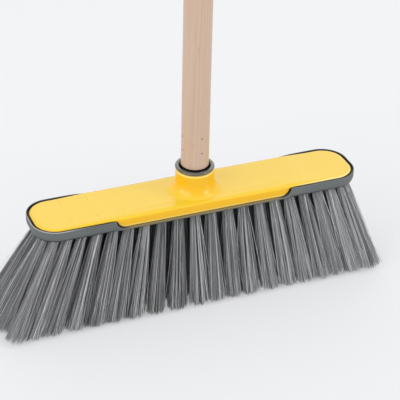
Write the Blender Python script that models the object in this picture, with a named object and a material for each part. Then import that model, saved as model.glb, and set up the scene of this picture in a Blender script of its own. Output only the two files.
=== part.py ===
"""Indoor broom: a round wooden handle screwed into a moulded head with rows of bristle tufts.

Metres, +Z up. X runs along the head, -Y is its front, and the origin lies on the floor under
the handle's axis. The broom stands on the trimmed tips of its bristles.
"""

import math

import bmesh
import bpy
import numpy as np

# Clearances
SEAT_GAP = 0.0003
CUT_OVERRUN = 0.002

# Head in plan, at the rim of the cover
HEAD_HALF_LENGTH = 0.145
HEAD_HALF_DEPTH = 0.025
HEAD_CORNER_RADIUS = 0.019

# Heights
BRISTLE_LENGTH = 0.0885
BUMPER_HEIGHT = 0.010
COVER_WALL = 0.0020
COVER_EDGE_HEIGHT = 0.0003
COVER_EDGE_RISE = 0.0012

# Cover: a skirt hangs down along the middle and stands a little proud of the ends
SKIRT_HALF_LENGTH = 0.071
SKIRT_STEP_RADIUS = 0.0074
SKIRT_BULGE = 0.0008
SKIRT_BLEND_LENGTH = 0.018
COVER_EDGE_INSET = 0.0032
SHOULDER_EXTRA_INSET = 0.0036
CREASE_WIDTH = 0.0014
CREASE_DEPTH = 0.00025
GROOVE_FIRST = 0.070
GROOVE_PITCH = 0.023
GROOVE_COUNT = 3
GROOVE_RADIUS = 0.0022
GROOVE_DEPTH = 0.0004

# Neck of the cover
NECK_RADIUS = 0.0162
NECK_HEIGHT = 0.0203
NECK_EDGE_ROUND = 0.0007
FLARE_REACH_ALONG = 0.010
FLARE_REACH_ACROSS = 0.0010

# Bumper
BUMPER_BULGE = 0.0026
BUMPER_INNER_SINK = 0.0022

# Screw socket in the neck
SOCKET_WALL = 0.0025
SOCKET_FLOOR = 0.0015
SOCKET_MOUTH_RADIUS = 0.0137
SOCKET_MOUTH_DEPTH = 0.0035
FLANGE_RADIUS = 0.0169
FLANGE_HEIGHT = 0.0025
FLANGE_EDGE_RADIUS = 0.0009

# Handle
HANDLE_DIAMETER = 0.024
HANDLE_LENGTH = 1.2
HANDLE_DOME_HEIGHT = 0.008
HANDLE_STANDOFF = 0.0008
HANDLE_CHAMFER = 0.0007
SPIGOT_DIAMETER = 0.0222
SPIGOT_CHAMFER = 0.0015

# Bristle block and its tufts
BLOCK_WALL = 0.0012
WELL_FLOOR = 0.0015
SLICE_THICKNESS = 0.0022
ROW_PITCH = 0.0081
TUFT_PITCH = 0.0143
TUFT_HALF_ALONG = 0.0026
TUFT_HALF_ACROSS = 0.0018
STRAND_ROOT_WIDTH = 0.0015
STRAND_ROOT_DEPTH = 0.0012
STRAND_TIP_WIDTH = 0.0036
TIP_SPREAD_ALONG = 0.0056
TIP_SPREAD_ACROSS = 0.0042
LEFT_SPLAY_ANGLE = math.radians(29.0)
RIGHT_SPLAY_ANGLE = math.radians(19.0)
OUTER_ROW_SPLAY_ANGLE = math.radians(10.5)
SPLAY_POWER = 1.15

# Facets
SHARP_EDGE_ANGLE = math.radians(35.0)
TURNED_SEGMENTS = 40
FLARE_RINGS = 6
GROOVE_SEGMENTS = 20
DOME_RINGS = 5

# Shares of the lengths that they follow, chosen by hand
SKIRT_STATION_SHARES = (0.0, 0.17, 0.34, 0.51, 0.68, 0.85)
STEP_ANGLE_SHARES = (0.0, 0.25, 0.5, 0.75, 1.0)
END_STATION_SHARES = (0.35, 0.7)
CORNER_ANGLE_SHARES = (0.0, 0.17, 0.33, 0.5, 0.67, 0.83, 1.0)
EDGE_ROUND_SHARES = ((0.0, 0.0), (0.08, 0.42), (0.28, 0.76), (0.6, 0.94), (1.0, 1.0))
CREASE_SHARES = ((0.5, 1.0), (1.0, 0.0))
BUMPER_SIDE_SHARES = ((0.0, 0.12), (0.2, 0.72), (0.5, 1.0), (0.8, 0.95), (1.0, 0.7))
FLANGE_ROUND_SHARES = (0.0, 0.33, 0.67, 1.0)
STRAND_PLACE_SHARES = ((0, 0), (-1, -1), (1, -1), (1, 1), (-1, 1))
ROW_NUMBERS = {
    "bristles_front_outer": -2,
    "bristles_front": -1,
    "bristles_middle": 0,
    "bristles_back": 1,
    "bristles_back_outer": 2,
}

# Levels worked out from the sizes above
BUMPER_TOP = BRISTLE_LENGTH + BUMPER_HEIGHT
COVER_RIM = BUMPER_TOP + SEAT_GAP
COVER_TOP = COVER_RIM + COVER_EDGE_HEIGHT + COVER_EDGE_RISE
COVER_UNDERSIDE = COVER_TOP - COVER_WALL
NECK_TOP = COVER_TOP + NECK_HEIGHT
FLANGE_TOP = NECK_TOP + SEAT_GAP + FLANGE_HEIGHT
HANDLE_SHOULDER = FLANGE_TOP + HANDLE_STANDOFF
HANDLE_RADIUS = HANDLE_DIAMETER / 2
SPIGOT_RADIUS = SPIGOT_DIAMETER / 2
SOCKET_BORE_RADIUS = SPIGOT_RADIUS + SEAT_GAP
SOCKET_RADIUS = SOCKET_BORE_RADIUS + SOCKET_WALL
NECK_BORE_RADIUS = SOCKET_RADIUS + SEAT_GAP
BLOCK_TOP = COVER_UNDERSIDE - SEAT_GAP
COVER_INNER_SINK = BUMPER_INNER_SINK + SEAT_GAP
BLOCK_SINK = COVER_INNER_SINK + SEAT_GAP
RECESS_ROOF = BRISTLE_LENGTH + SLICE_THICKNESS + SEAT_GAP
WELL_BOTTOM = RECESS_ROOF + WELL_FLOOR
SOCKET_BOTTOM = WELL_BOTTOM + SEAT_GAP
SPIGOT_TIP = SOCKET_BOTTOM + SOCKET_FLOOR + SEAT_GAP
SLICE_SINK = BLOCK_SINK + BLOCK_WALL + SEAT_GAP


def clear_scene():
    """Remove every object that the scene starts with."""
    for thing in list(bpy.data.objects):
        bpy.data.objects.remove(thing, do_unlink=True)


def make_material(name, colour, roughness, metallic=0.0):
    """One Principled material with a plain colour."""
    material = bpy.data.materials.new(name)
    material.use_nodes = True
    shader = material.node_tree.nodes["Principled BSDF"]
    shader.inputs["Base Color"].default_value = (*colour, 1.0)
    shader.inputs["Roughness"].default_value = roughness
    shader.inputs["Metallic"].default_value = metallic
    material.diffuse_color = (*colour, 1.0)
    return material


def wood():
    return make_material("lacquered_wood", (0.62, 0.44, 0.31), 0.45)


def yellow_plastic():
    return make_material("yellow_plastic", (0.98, 0.58, 0.03), 0.25)


def soft_grey_rubber():
    return make_material("soft_grey_rubber", (0.14, 0.15, 0.16), 0.55)


def grey_plastic():
    return make_material("grey_plastic", (0.11, 0.12, 0.13), 0.4)


def bristle_grey():
    return make_material("bristle_grey", (0.25, 0.25, 0.26), 0.6)


def finish(name, mesh_data, material):
    """Write a bmesh to a named object with one material and smooth round faces."""
    bmesh.ops.recalc_face_normals(mesh_data, faces=mesh_data.faces[:])
    mesh = bpy.data.meshes.new(name)
    mesh_data.to_mesh(mesh)
    mesh_data.free()
    mesh.materials.append(material)
    mesh.shade_smooth()
    mesh.set_sharp_from_angle(angle=SHARP_EDGE_ANGLE)
    piece = bpy.data.objects.new(name, mesh)
    bpy.context.scene.collection.objects.link(piece)
    return piece


def hide_tool(tool):
    """Mark an object as a cutter or a guide."""
    tool.hide_render = True
    tool.display_type = "WIRE"


def combine(piece, tool, operation):
    """Cut a piece with a tool, or join the tool to it, by a Boolean modifier."""
    hide_tool(tool)
    boolean = piece.modifiers.new(operation.lower(), "BOOLEAN")
    boolean.operation = operation
    boolean.solver = "EXACT"
    boolean.object = tool


def turned(name, profile, material):
    """Spin a profile of (radius, height) points, from axis to axis, round the Z axis."""
    data = bmesh.new()
    points = [data.verts.new((radius, 0.0, height)) for radius, height in profile]
    edges = [data.edges.new(pair) for pair in zip(points, points[1:])]
    bmesh.ops.spin(
        data,
        geom=points + edges,
        cent=(0.0, 0.0, 0.0),
        axis=(0.0, 0.0, 1.0),
        angle=math.tau,
        steps=TURNED_SEGMENTS,
        use_merge=True,
    )
    bmesh.ops.remove_doubles(data, verts=data.verts[:], dist=SEAT_GAP / 100)
    return finish(name, data, material)


def extruded(name, outline, low, high, material):
    """Extrude a closed plan outline from one height up to another."""
    data = bmesh.new()
    base = data.faces.new([data.verts.new((x, y, low)) for x, y in outline])
    grown = bmesh.ops.extrude_face_region(data, geom=[base])["geom"]
    risen = [item for item in grown if isinstance(item, bmesh.types.BMVert)]
    bmesh.ops.translate(data, verts=risen, vec=(0.0, 0.0, high - low))
    return finish(name, data, material)


def ring_edges(data, loop):
    """The edges that join a ring's points."""
    return [data.edges.get(pair) for pair in zip(loop, loop[1:] + loop[:1])]


def ring_body(name, rings, material, level_band=None):
    """Join closed rings of points one after another, and the last to the first.

    The band after the ring numbered level_band is level, and is filled as one plane with a hole.
    """
    data = bmesh.new()
    loops = [[data.verts.new(point) for point in ring] for ring in rings]
    for number, (near, far) in enumerate(zip(loops, loops[1:] + loops[:1])):
        if number == level_band:
            continue
        for place in range(len(near)):
            after = (place + 1) % len(near)
            data.faces.new((near[place], near[after], far[after], far[place]))
    if level_band is not None:
        edges = ring_edges(data, loops[level_band]) + ring_edges(data, loops[level_band + 1])
        bmesh.ops.triangle_fill(data, use_beauty=True, use_dissolve=False, edges=edges)
    return finish(name, data, material)


def head_stations(step_radius, step_rise=0.0):
    """Plan points round the head's rim, with outward directions and the skirt's lower edge.

    One quarter, from the middle of the front to the middle of the right end, is worked out
    and mirrored to the other three. Each row holds x, y, direction x, direction y and drop,
    where drop is how far the skirt hangs below the rim there. The step at each end of the
    skirt is a quarter circle, cut off where it comes step_rise from the rim.
    """
    front = -HEAD_HALF_DEPTH
    quarter = []
    for share in SKIRT_STATION_SHARES:
        quarter.append((share * SKIRT_HALF_LENGTH, front, 0.0, -1.0, step_radius))
    full_turn = math.acos(step_rise / step_radius)
    for share in STEP_ANGLE_SHARES:
        turn = share * full_turn
        along = SKIRT_HALF_LENGTH + step_radius * math.sin(turn)
        quarter.append((along, front, 0.0, -1.0, step_radius * math.cos(turn)))
    corner_x = HEAD_HALF_LENGTH - HEAD_CORNER_RADIUS
    corner_y = HEAD_CORNER_RADIUS - HEAD_HALF_DEPTH
    for share in END_STATION_SHARES:
        along = (1.0 - share) * (SKIRT_HALF_LENGTH + step_radius) + share * corner_x
        quarter.append((along, front, 0.0, -1.0, step_rise))
    for share in CORNER_ANGLE_SHARES:
        out_x = math.sin(share * math.pi / 2)
        out_y = -math.cos(share * math.pi / 2)
        corner = (
            corner_x + HEAD_CORNER_RADIUS * out_x,
            corner_y + HEAD_CORNER_RADIUS * out_y,
        )
        quarter.append((*corner, out_x, out_y, step_rise))
    quarter.append((HEAD_HALF_LENGTH, 0.0, 1.0, 0.0, step_rise))
    quarter = np.array(quarter)
    across = np.array((1.0, -1.0, 1.0, -1.0, 1.0))
    along = np.array((-1.0, 1.0, -1.0, 1.0, 1.0))
    right = np.vstack((quarter, (quarter * across)[-2::-1]))
    return np.vstack((right, (right * along)[-2:0:-1]))


def smooth_step(value):
    """Go from 0 to 1 with level ends as value goes from 0 to 1."""
    value = np.clip(value, 0.0, 1.0)
    return value * value * (3.0 - 2.0 * value)


def middle_weight(x):
    """1 along the skirt and 0 at the ends of the head, with a smooth change between."""
    start = SKIRT_HALF_LENGTH - SKIRT_BLEND_LENGTH / 2 + SKIRT_STEP_RADIUS
    return 1.0 - smooth_step((np.abs(x) - start) / SKIRT_BLEND_LENGTH)


def ring_at(stations, offset, height):
    """The stations moved outwards by an offset, at a height."""
    x = stations[:, 0] + offset * stations[:, 2]
    y = stations[:, 1] + offset * stations[:, 3]
    return np.column_stack((x, y, np.broadcast_to(height, x.shape)))


def neck_ring(count, half_along, half_across, height):
    """An ellipse round the handle's axis, with one point for each station."""
    turn = -math.pi / 2 + np.arange(count) * math.tau / count
    x = half_along * np.cos(turn)
    y = half_across * np.sin(turn)
    return np.column_stack((x, y, np.full(count, height)))


def top_cover(material):
    """The yellow shell: rim, rounded edge, flat top, flared neck, and the hollow beneath.

    A fine crease runs along the inner side of the rounded edge in the middle of the head.
    """
    stations = head_stations(SKIRT_STEP_RADIUS)
    weight = middle_weight(stations[:, 0])
    proud = SKIRT_BULGE * weight
    inset = COVER_EDGE_INSET + SHOULDER_EXTRA_INSET * weight
    edge = COVER_RIM + COVER_EDGE_HEIGHT
    lower = COVER_RIM - stations[:, 4]
    rings = [ring_at(stations, proud, lower)]
    for inward_share, rise_share in EDGE_ROUND_SHARES:
        height = edge + rise_share * COVER_EDGE_RISE
        rings.append(ring_at(stations, proud - inward_share * inset, height))
    for width_share, depth_share in CREASE_SHARES:
        inward = inset + width_share * CREASE_WIDTH
        height = COVER_TOP - depth_share * CREASE_DEPTH * weight
        rings.append(ring_at(stations, proud - inward, height))
    count = len(stations)
    level_band = len(rings) - 1
    for step in range(FLARE_RINGS + 1):
        turn = step / FLARE_RINGS * math.pi / 2
        half_along = NECK_RADIUS + FLARE_REACH_ALONG * (1.0 - math.sin(turn))
        half_across = NECK_RADIUS + FLARE_REACH_ACROSS * (1.0 - math.sin(turn))
        height = COVER_TOP + (NECK_HEIGHT - NECK_EDGE_ROUND) * (1.0 - math.cos(turn))
        rings.append(neck_ring(count, half_along, half_across, height))
    lip_radius = NECK_RADIUS - NECK_EDGE_ROUND
    rings.append(neck_ring(count, lip_radius, lip_radius, NECK_TOP))
    rings.append(neck_ring(count, NECK_BORE_RADIUS, NECK_BORE_RADIUS, NECK_TOP))
    rings.append(neck_ring(count, NECK_BORE_RADIUS, NECK_BORE_RADIUS, COVER_UNDERSIDE))
    rings.append(ring_at(stations, -COVER_INNER_SINK, COVER_UNDERSIDE))
    rings.append(ring_at(stations, -COVER_INNER_SINK, lower))
    cover = ring_body("top_cover", rings, material, level_band)
    for step in range(GROOVE_COUNT):
        for side in (-1.0, 1.0):
            place = side * (GROOVE_FIRST + step * GROOVE_PITCH)
            combine(cover, groove_cutter(place, material), "DIFFERENCE")
    return cover


def groove_cutter(place, material):
    """A long cylinder across the head, sunk a little into the top of the cover."""
    data = bmesh.new()
    centre = COVER_TOP + GROOVE_RADIUS - GROOVE_DEPTH
    circle = []
    for step in range(GROOVE_SEGMENTS):
        turn = (step + 0.5) * math.tau / GROOVE_SEGMENTS
        x = place + GROOVE_RADIUS * math.sin(turn)
        height = centre + GROOVE_RADIUS * math.cos(turn)
        circle.append(data.verts.new((x, -HEAD_HALF_DEPTH, height)))
    base = data.faces.new(circle)
    grown = bmesh.ops.extrude_face_region(data, geom=[base])["geom"]
    far = [item for item in grown if isinstance(item, bmesh.types.BMVert)]
    bmesh.ops.translate(data, verts=far, vec=(0.0, 2 * HEAD_HALF_DEPTH, 0.0))
    return finish("groove_cutter", data, material)


def bumper(material):
    """The soft ring round the head: tall at both ends and a thin strip below the skirt."""
    stations = head_stations(SKIRT_STEP_RADIUS + SEAT_GAP, SEAT_GAP)
    tall = BUMPER_HEIGHT + SEAT_GAP - stations[:, 4]
    rings = []
    for height_share, bulge_share in BUMPER_SIDE_SHARES:
        height = BRISTLE_LENGTH + height_share * tall
        rings.append(ring_at(stations, bulge_share * BUMPER_BULGE, height))
    rings.append(ring_at(stations, -BUMPER_INNER_SINK, BRISTLE_LENGTH + tall))
    rings.append(ring_at(stations, -BUMPER_INNER_SINK, BRISTLE_LENGTH))
    return ring_body("bumper", rings, material)


def rounded_outline(sink):
    """The head's plan outline, moved inwards by sink, as (x, y) points."""
    ring = ring_at(head_stations(SKIRT_STEP_RADIUS), -sink, 0.0)
    return ring[:, :2].tolist()


def bristle_block(material):
    """The block that carries the tufts, with a well for the socket and a recess below."""
    outline = rounded_outline(BLOCK_SINK)
    block = extruded("bristle_block", outline, BRISTLE_LENGTH, BLOCK_TOP, material)
    recess_outline = rounded_outline(BLOCK_SINK + BLOCK_WALL)
    recess_low = BRISTLE_LENGTH - CUT_OVERRUN
    recess = extruded("recess_cutter", recess_outline, recess_low, RECESS_ROOF, material)
    combine(block, recess, "DIFFERENCE")
    well_profile = (
        (0.0, BLOCK_TOP + CUT_OVERRUN),
        (NECK_BORE_RADIUS, BLOCK_TOP + CUT_OVERRUN),
        (NECK_BORE_RADIUS, WELL_BOTTOM),
        (0.0, WELL_BOTTOM),
    )
    combine(block, turned("well_cutter", well_profile, material), "DIFFERENCE")
    return block


def threaded_socket(material):
    """The dark sleeve in the neck: a rounded flange on top, a funnel mouth and a closed floor."""
    flange_low = NECK_TOP + SEAT_GAP
    inner_floor = SOCKET_BOTTOM + SOCKET_FLOOR
    profile = [
        (0.0, inner_floor),
        (SOCKET_BORE_RADIUS, inner_floor),
        (SOCKET_BORE_RADIUS, FLANGE_TOP - SOCKET_MOUTH_DEPTH),
        (SOCKET_MOUTH_RADIUS, FLANGE_TOP),
    ]
    centre = FLANGE_RADIUS - FLANGE_EDGE_RADIUS
    for share in FLANGE_ROUND_SHARES:
        turn = share * math.pi / 2
        radius = centre + FLANGE_EDGE_RADIUS * math.sin(turn)
        height = FLANGE_TOP - FLANGE_EDGE_RADIUS * (1.0 - math.cos(turn))
        profile.append((radius, height))
    profile += [
        (FLANGE_RADIUS, flange_low),
        (SOCKET_RADIUS, flange_low),
        (SOCKET_RADIUS, SOCKET_BOTTOM),
        (0.0, SOCKET_BOTTOM),
    ]
    return turned("threaded_socket", profile, material)


def handle(material):
    """The wooden pole: a spigot that screws into the socket, a shoulder and a domed top."""
    top = SPIGOT_TIP + HANDLE_LENGTH
    dome_low = top - HANDLE_DOME_HEIGHT
    profile = [
        (0.0, SPIGOT_TIP),
        (SPIGOT_RADIUS - SPIGOT_CHAMFER, SPIGOT_TIP),
        (SPIGOT_RADIUS, SPIGOT_TIP + SPIGOT_CHAMFER),
        (SPIGOT_RADIUS, HANDLE_SHOULDER),
        (HANDLE_RADIUS - HANDLE_CHAMFER, HANDLE_SHOULDER),
        (HANDLE_RADIUS, HANDLE_SHOULDER + HANDLE_CHAMFER),
    ]
    for step in range(DOME_RINGS):
        turn = step / DOME_RINGS * math.pi / 2
        height = dome_low + HANDLE_DOME_HEIGHT * math.sin(turn)
        profile.append((HANDLE_RADIUS * math.cos(turn), height))
    profile.append((0.0, top))
    return turned("handle", profile, material)


def outline_reach(y, sink):
    """Half the head's length at a place across it, on the outline moved inwards by sink."""
    radius = HEAD_CORNER_RADIUS - sink
    beyond = max(0.0, abs(y) - (HEAD_HALF_DEPTH - HEAD_CORNER_RADIUS))
    rounding = math.sqrt(max(0.0, radius * radius - beyond * beyond))
    return HEAD_HALF_LENGTH - HEAD_CORNER_RADIUS + rounding


def slice_outline(row):
    """The plan outline of one row's slice of the backing, as (x, y) points."""
    outer = HEAD_HALF_DEPTH - SLICE_SINK
    low = max(-outer, (row - 0.5) * ROW_PITCH + SEAT_GAP / 2)
    high = min(outer, (row + 0.5) * ROW_PITCH - SEAT_GAP / 2)
    steps = len(CORNER_ANGLE_SHARES) if abs(row) > 1 else 2
    across = np.linspace(low, high, steps)
    right = [(outline_reach(y, SLICE_SINK), y) for y in across]
    left = [(-x, y) for x, y in reversed(right)]
    return right + left


def tuft_centres(row):
    """Places of one row's tufts along the head, staggered from row to row.

    The end tufts lean outwards inside the slice too, and keep that lean clear of its edge.
    """
    y = row * ROW_PITCH
    half_strand = STRAND_ROOT_WIDTH / 2
    widest = abs(y) + TUFT_HALF_ACROSS + half_strand
    lean = STRAND_ROOT_DEPTH * math.tan(max(LEFT_SPLAY_ANGLE, RIGHT_SPLAY_ANGLE))
    reach = outline_reach(widest, SLICE_SINK) - TUFT_HALF_ALONG - half_strand - lean
    shift = 0.5 * (abs(row) % 2)
    last = math.floor(reach / TUFT_PITCH - shift)
    return [(step + shift) * TUFT_PITCH for step in range(-last - math.ceil(shift), last + 1)]


def tip_shift(x, y):
    """How far a tuft's tips lie from its root: along the head and across it."""
    end_angle = LEFT_SPLAY_ANGLE if x < 0.0 else RIGHT_SPLAY_ANGLE
    share = (abs(x) / HEAD_HALF_LENGTH) ** SPLAY_POWER
    along = math.copysign(BRISTLE_LENGTH * math.tan(end_angle) * share, x)
    outer_row = max(ROW_NUMBERS.values()) * ROW_PITCH
    across = BRISTLE_LENGTH * math.tan(OUTER_ROW_SPLAY_ANGLE) * y / outer_row
    return along, across


def add_strand(data, root, tip):
    """Add one four-sided strand, thin at its root and wide at its trimmed tip."""
    loops = []
    ends = ((root, STRAND_ROOT_WIDTH), (tip, STRAND_TIP_WIDTH))
    for (x, y, z), width in ends:
        half = width / 2
        corners = ((-half, -half), (half, -half), (half, half), (-half, half))
        loops.append([data.verts.new((x + dx, y + dy, z)) for dx, dy in corners])
    for place in range(4):
        after = (place + 1) % 4
        upper, lower = loops
        data.faces.new((upper[place], upper[after], lower[after], lower[place]))
    data.faces.new(loops[0])
    data.faces.new(loops[1])


def strands(name, row, material):
    """All strands of one row: five in each tuft, spreading from the root to the floor."""
    data = bmesh.new()
    y = row * ROW_PITCH
    for x in tuft_centres(row):
        along, across = tip_shift(x, y)
        for side_x, side_y in STRAND_PLACE_SHARES:
            root = (
                x + side_x * TUFT_HALF_ALONG,
                y + side_y * TUFT_HALF_ACROSS,
                BRISTLE_LENGTH + STRAND_ROOT_DEPTH,
            )
            tip = (
                x + along + side_x * TIP_SPREAD_ALONG,
                y + across + side_y * TIP_SPREAD_ACROSS,
                0.0,
            )
            add_strand(data, root, tip)
    return finish(name, data, material)


def bristle_row(name, row, material):
    """One row of tufts, fused to the slice of the backing that holds it."""
    top = BRISTLE_LENGTH + SLICE_THICKNESS
    backing = extruded(name, slice_outline(row), BRISTLE_LENGTH, top, material)
    combine(backing, strands(name + "_strands", row, material), "UNION")
    return backing


def build():
    """Make every piece of the broom."""
    clear_scene()
    dark_plastic = grey_plastic()
    top_cover(yellow_plastic())
    bumper(soft_grey_rubber())
    bristle_block(dark_plastic)
    threaded_socket(dark_plastic)
    handle(wood())
    grey = bristle_grey()
    for name, row in ROW_NUMBERS.items():
        bristle_row(name, row, grey)


build()
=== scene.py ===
# %% [markdown]
# # An indoor broom, dressed round its imported model
#
# The imported model gives every piece its size and place. This script gives each piece its fine
# surface and its finish. It starts by loading the model.

# %% Load the imported broom
from math import cos, pi, radians, sin, tau

import bmesh
import bpy
import numpy as np
from mathutils import Matrix, Vector


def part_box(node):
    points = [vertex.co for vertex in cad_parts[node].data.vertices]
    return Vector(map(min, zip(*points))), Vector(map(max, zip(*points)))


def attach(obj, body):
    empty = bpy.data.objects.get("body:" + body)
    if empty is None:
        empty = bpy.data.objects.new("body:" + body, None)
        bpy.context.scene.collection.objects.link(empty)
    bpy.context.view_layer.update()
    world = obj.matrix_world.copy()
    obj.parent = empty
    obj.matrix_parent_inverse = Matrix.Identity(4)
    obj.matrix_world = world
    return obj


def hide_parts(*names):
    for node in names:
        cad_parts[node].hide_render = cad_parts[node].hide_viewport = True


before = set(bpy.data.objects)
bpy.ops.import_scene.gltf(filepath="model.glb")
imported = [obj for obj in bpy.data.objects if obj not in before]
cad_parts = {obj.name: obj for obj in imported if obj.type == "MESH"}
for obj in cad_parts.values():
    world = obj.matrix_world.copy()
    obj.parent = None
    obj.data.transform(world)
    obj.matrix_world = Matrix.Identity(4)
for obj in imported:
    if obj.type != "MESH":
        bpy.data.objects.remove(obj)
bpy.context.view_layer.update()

print("nodes:", ", ".join(sorted(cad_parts)))

# %% [markdown]
# ## The camera
#
# The photograph looks down on the broom's head from the front left, through a long lens, so that
# the handle leaves the picture at the top. The camera is placed by the turn, the height and the
# distance from which it sees the middle of the cover's rim, and then rolled a little. It could be
# pushed into place by eye, but angles are easier to check and to correct.

# %% Camera
PICTURE_SIDE = 400
FOCAL_PIXELS = 1600.0
SENSOR_WIDTH = 36.0
VIEW_TURN = radians(-22.5)
VIEW_HEIGHT = radians(31.6)
VIEW_ROLL = radians(-1.4)
VIEW_DISTANCE = 1.375
VIEW_SHIFT = (-0.0050, -0.0094)
VIEW_TARGET = Vector((0.0, 0.0, 0.09865))


def in_scene(name, data):
    """A new object at the origin, linked to the scene."""
    thing = bpy.data.objects.new(name, data)
    bpy.context.scene.collection.objects.link(thing)
    return thing


def photo_camera():
    """A camera whose back points along (sin t cos h, -cos t cos h, sin h) for turn t and height h.

    Its right-hand side is level before the roll, and it is moved sideways and down by the shift.
    """
    flat = cos(VIEW_HEIGHT)
    back = Vector((sin(VIEW_TURN) * flat, -cos(VIEW_TURN) * flat, sin(VIEW_HEIGHT)))
    level = Vector((0.0, 0.0, 1.0)).cross(back).normalized()
    down = -back.cross(level)
    right = cos(VIEW_ROLL) * level + sin(VIEW_ROLL) * down
    down = cos(VIEW_ROLL) * down - sin(VIEW_ROLL) * level
    place = VIEW_TARGET + VIEW_DISTANCE * back - VIEW_SHIFT[0] * right - VIEW_SHIFT[1] * down
    lens = bpy.data.cameras.new("photo_lens")
    lens.sensor_width = SENSOR_WIDTH
    lens.lens = FOCAL_PIXELS / PICTURE_SIDE * SENSOR_WIDTH
    camera = in_scene("photo_camera", lens)
    turn = Matrix((right, -down, back)).transposed()
    camera.matrix_world = Matrix.Translation(place) @ turn.to_4x4()
    return camera


camera = photo_camera()
bpy.context.scene.camera = camera
bpy.context.scene.view_settings.view_transform = "Standard"
print("camera at", [round(value, 3) for value in camera.matrix_world.translation])

# %% [markdown]
# ## Wiring nodes
#
# A finish is a Principled shader fed by a few nodes. Written out, every node takes a line for each
# of its inputs, so the helpers do that: an input gets a link when it is given a socket, and a
# plain value otherwise. Others mix two colours by a mask and stretch a value to a range.

# %% Helpers for nodes
def feed(tree, value, socket):
    """Link a socket to an input or set it to a plain value; None leaves it as it is."""
    if isinstance(value, bpy.types.NodeSocket):
        tree.links.new(value, socket)
    elif value is not None:
        socket.default_value = value


def wired(tree, kind, *values, **settings):
    """A new shader node with its settings made and its first inputs fed."""
    node = tree.nodes.new(kind)
    for name, setting in settings.items():
        setattr(node, name, setting)
    for value, socket in zip(values, node.inputs):
        feed(tree, value, socket)
    return node


def computed(tree, operation, *values):
    """The result of a math operation on one or two values."""
    return wired(tree, "ShaderNodeMath", *values, operation=operation).outputs[0]


def moved(tree, operation, *vectors):
    """The result of a vector operation that gives a vector."""
    return wired(tree, "ShaderNodeVectorMath", *vectors, operation=operation).outputs["Vector"]


def ranged(tree, value, low, high, to_low=0.0, to_high=1.0):
    """A value taken from one range to another, and kept inside it."""
    return wired(tree, "ShaderNodeMapRange", value, low, high, to_low, to_high).outputs["Result"]


def noise_of(tree, vector, detail, scale=1.0):
    """Plain noise of a vector."""
    return wired(tree, "ShaderNodeTexNoise", vector, None, scale, detail).outputs["Fac"]


def mixed(tree, mask, first, second):
    """Two colours mixed by a mask; each is a socket or a plain colour."""
    node = wired(tree, "ShaderNodeMix", mask, data_type="RGBA")
    for value, socket in ((first, node.inputs[6]), (second, node.inputs[7])):
        feed(tree, (*value, 1.0) if isinstance(value, tuple) else value, socket)
    return node.outputs[2]


def layered(tree, colour, *layers):
    """A colour with layers over it: each has a mask, the share of it that counts, and a colour."""
    for mask, share, tone in layers:
        colour = mixed(tree, computed(tree, "MULTIPLY", mask, share), colour, tone)
    return colour


print("helpers: wired, computed, moved, ranged, noise_of, mixed, layered")

# %% Helpers for masks and finishes
BAND_BLEND = 0.0004


def height_band(tree, height, low, high):
    """One between two heights, with a short blend to zero below and above them."""
    above = ranged(tree, height, low - BAND_BLEND, low)
    below = ranged(tree, height, high, high + BAND_BLEND, 1.0, 0.0)
    return computed(tree, "MULTIPLY", above, below)


def facing_up(tree):
    """How far the surface faces up: the Z of its normal."""
    normal = wired(tree, "ShaderNodeNewGeometry").outputs["Normal"]
    return wired(tree, "ShaderNodeSeparateXYZ", normal).outputs["Z"]


def place_of(tree):
    """The object's coordinates, then its X, its Z and its distance from the middle along X."""
    place = wired(tree, "ShaderNodeTexCoord").outputs["Object"]
    split = wired(tree, "ShaderNodeSeparateXYZ", place).outputs
    return place, split["X"], split["Z"], computed(tree, "ABSOLUTE", split["X"])


def start_finish(name, roughness, **shader_values):
    """A new material, its tree, its shader and the object's own coordinates."""
    material = bpy.data.materials.new(name)
    material.use_nodes = True
    tree = material.node_tree
    shader = tree.nodes["Principled BSDF"]
    for label, value in dict(shader_values, Roughness=roughness).items():
        shader.inputs[label.replace("_", " ")].default_value = value
    return material, tree, shader, wired(tree, "ShaderNodeTexCoord").outputs["Object"]


def repaint(material, recolour):
    """Pass a finish's colour through a function of its tree and its colour."""
    tree = material.node_tree
    socket = tree.nodes["Principled BSDF"].inputs["Base Color"]
    tree.links.new(recolour(tree, socket.links[0].from_socket), socket)


def bumped(tree, shader, height, distance):
    """A bump of the height socket, as deep as the distance in metres."""
    bump = wired(tree, "ShaderNodeBump", None, distance, None, height)
    tree.links.new(bump.outputs["Normal"], shader.inputs["Normal"])


print("a band of heights blends over", BAND_BLEND, "m at both sides")

# %% [markdown]
# ## Studio light
#
# The broom stands in a white studio: soft light comes from all round, and soft boxes stand round
# it. The two in front light the walls and put a soft highlight on each side of the neck. The low
# one at the left lights that end, the small one at the right adds a glint at the neck's foot, and
# the large one behind mirrors in the flat top. A picture of a studio could be wrapped round the
# scene instead, but lamps can be moved until each highlight sits where it should. The floor shows
# brighter to the camera than the light makes it, more so further back, as in a photograph on a
# white sweep. It keeps the broom's shadow.

# %% World and lamps
AMBIENT = 0.85
AMBIENT_TINT = (0.985, 0.992, 1.0, 1.0)
BACKDROP = 0.955
SOFT_BOXES = {
    "left_box": (Vector((-1.60, -0.20, 0.62)), (0.6, 0.6), 4.5),
    "right_box": (Vector((1.18, -0.64, 1.31)), (0.32, 0.32), 3.2),
    "front_left_box": (Vector((-1.40, -1.05, 0.90)), (1.0, 1.3), 8.5),
    "front_right_box": (Vector((1.20, -1.35, 0.36)), (0.75, 0.75), 7.2),
    "back_box": (Vector((0.72, 1.73, 1.25)), (1.4, 1.4), 4.0),
}


def seen_directly(tree):
    """One for camera, mirror and clear rays, and zero for all others."""
    path = wired(tree, "ShaderNodeLightPath").outputs
    seen = computed(tree, "MAXIMUM", path["Is Camera Ray"], path["Is Glossy Ray"])
    return computed(tree, "MAXIMUM", seen, path["Is Transmission Ray"])


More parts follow.
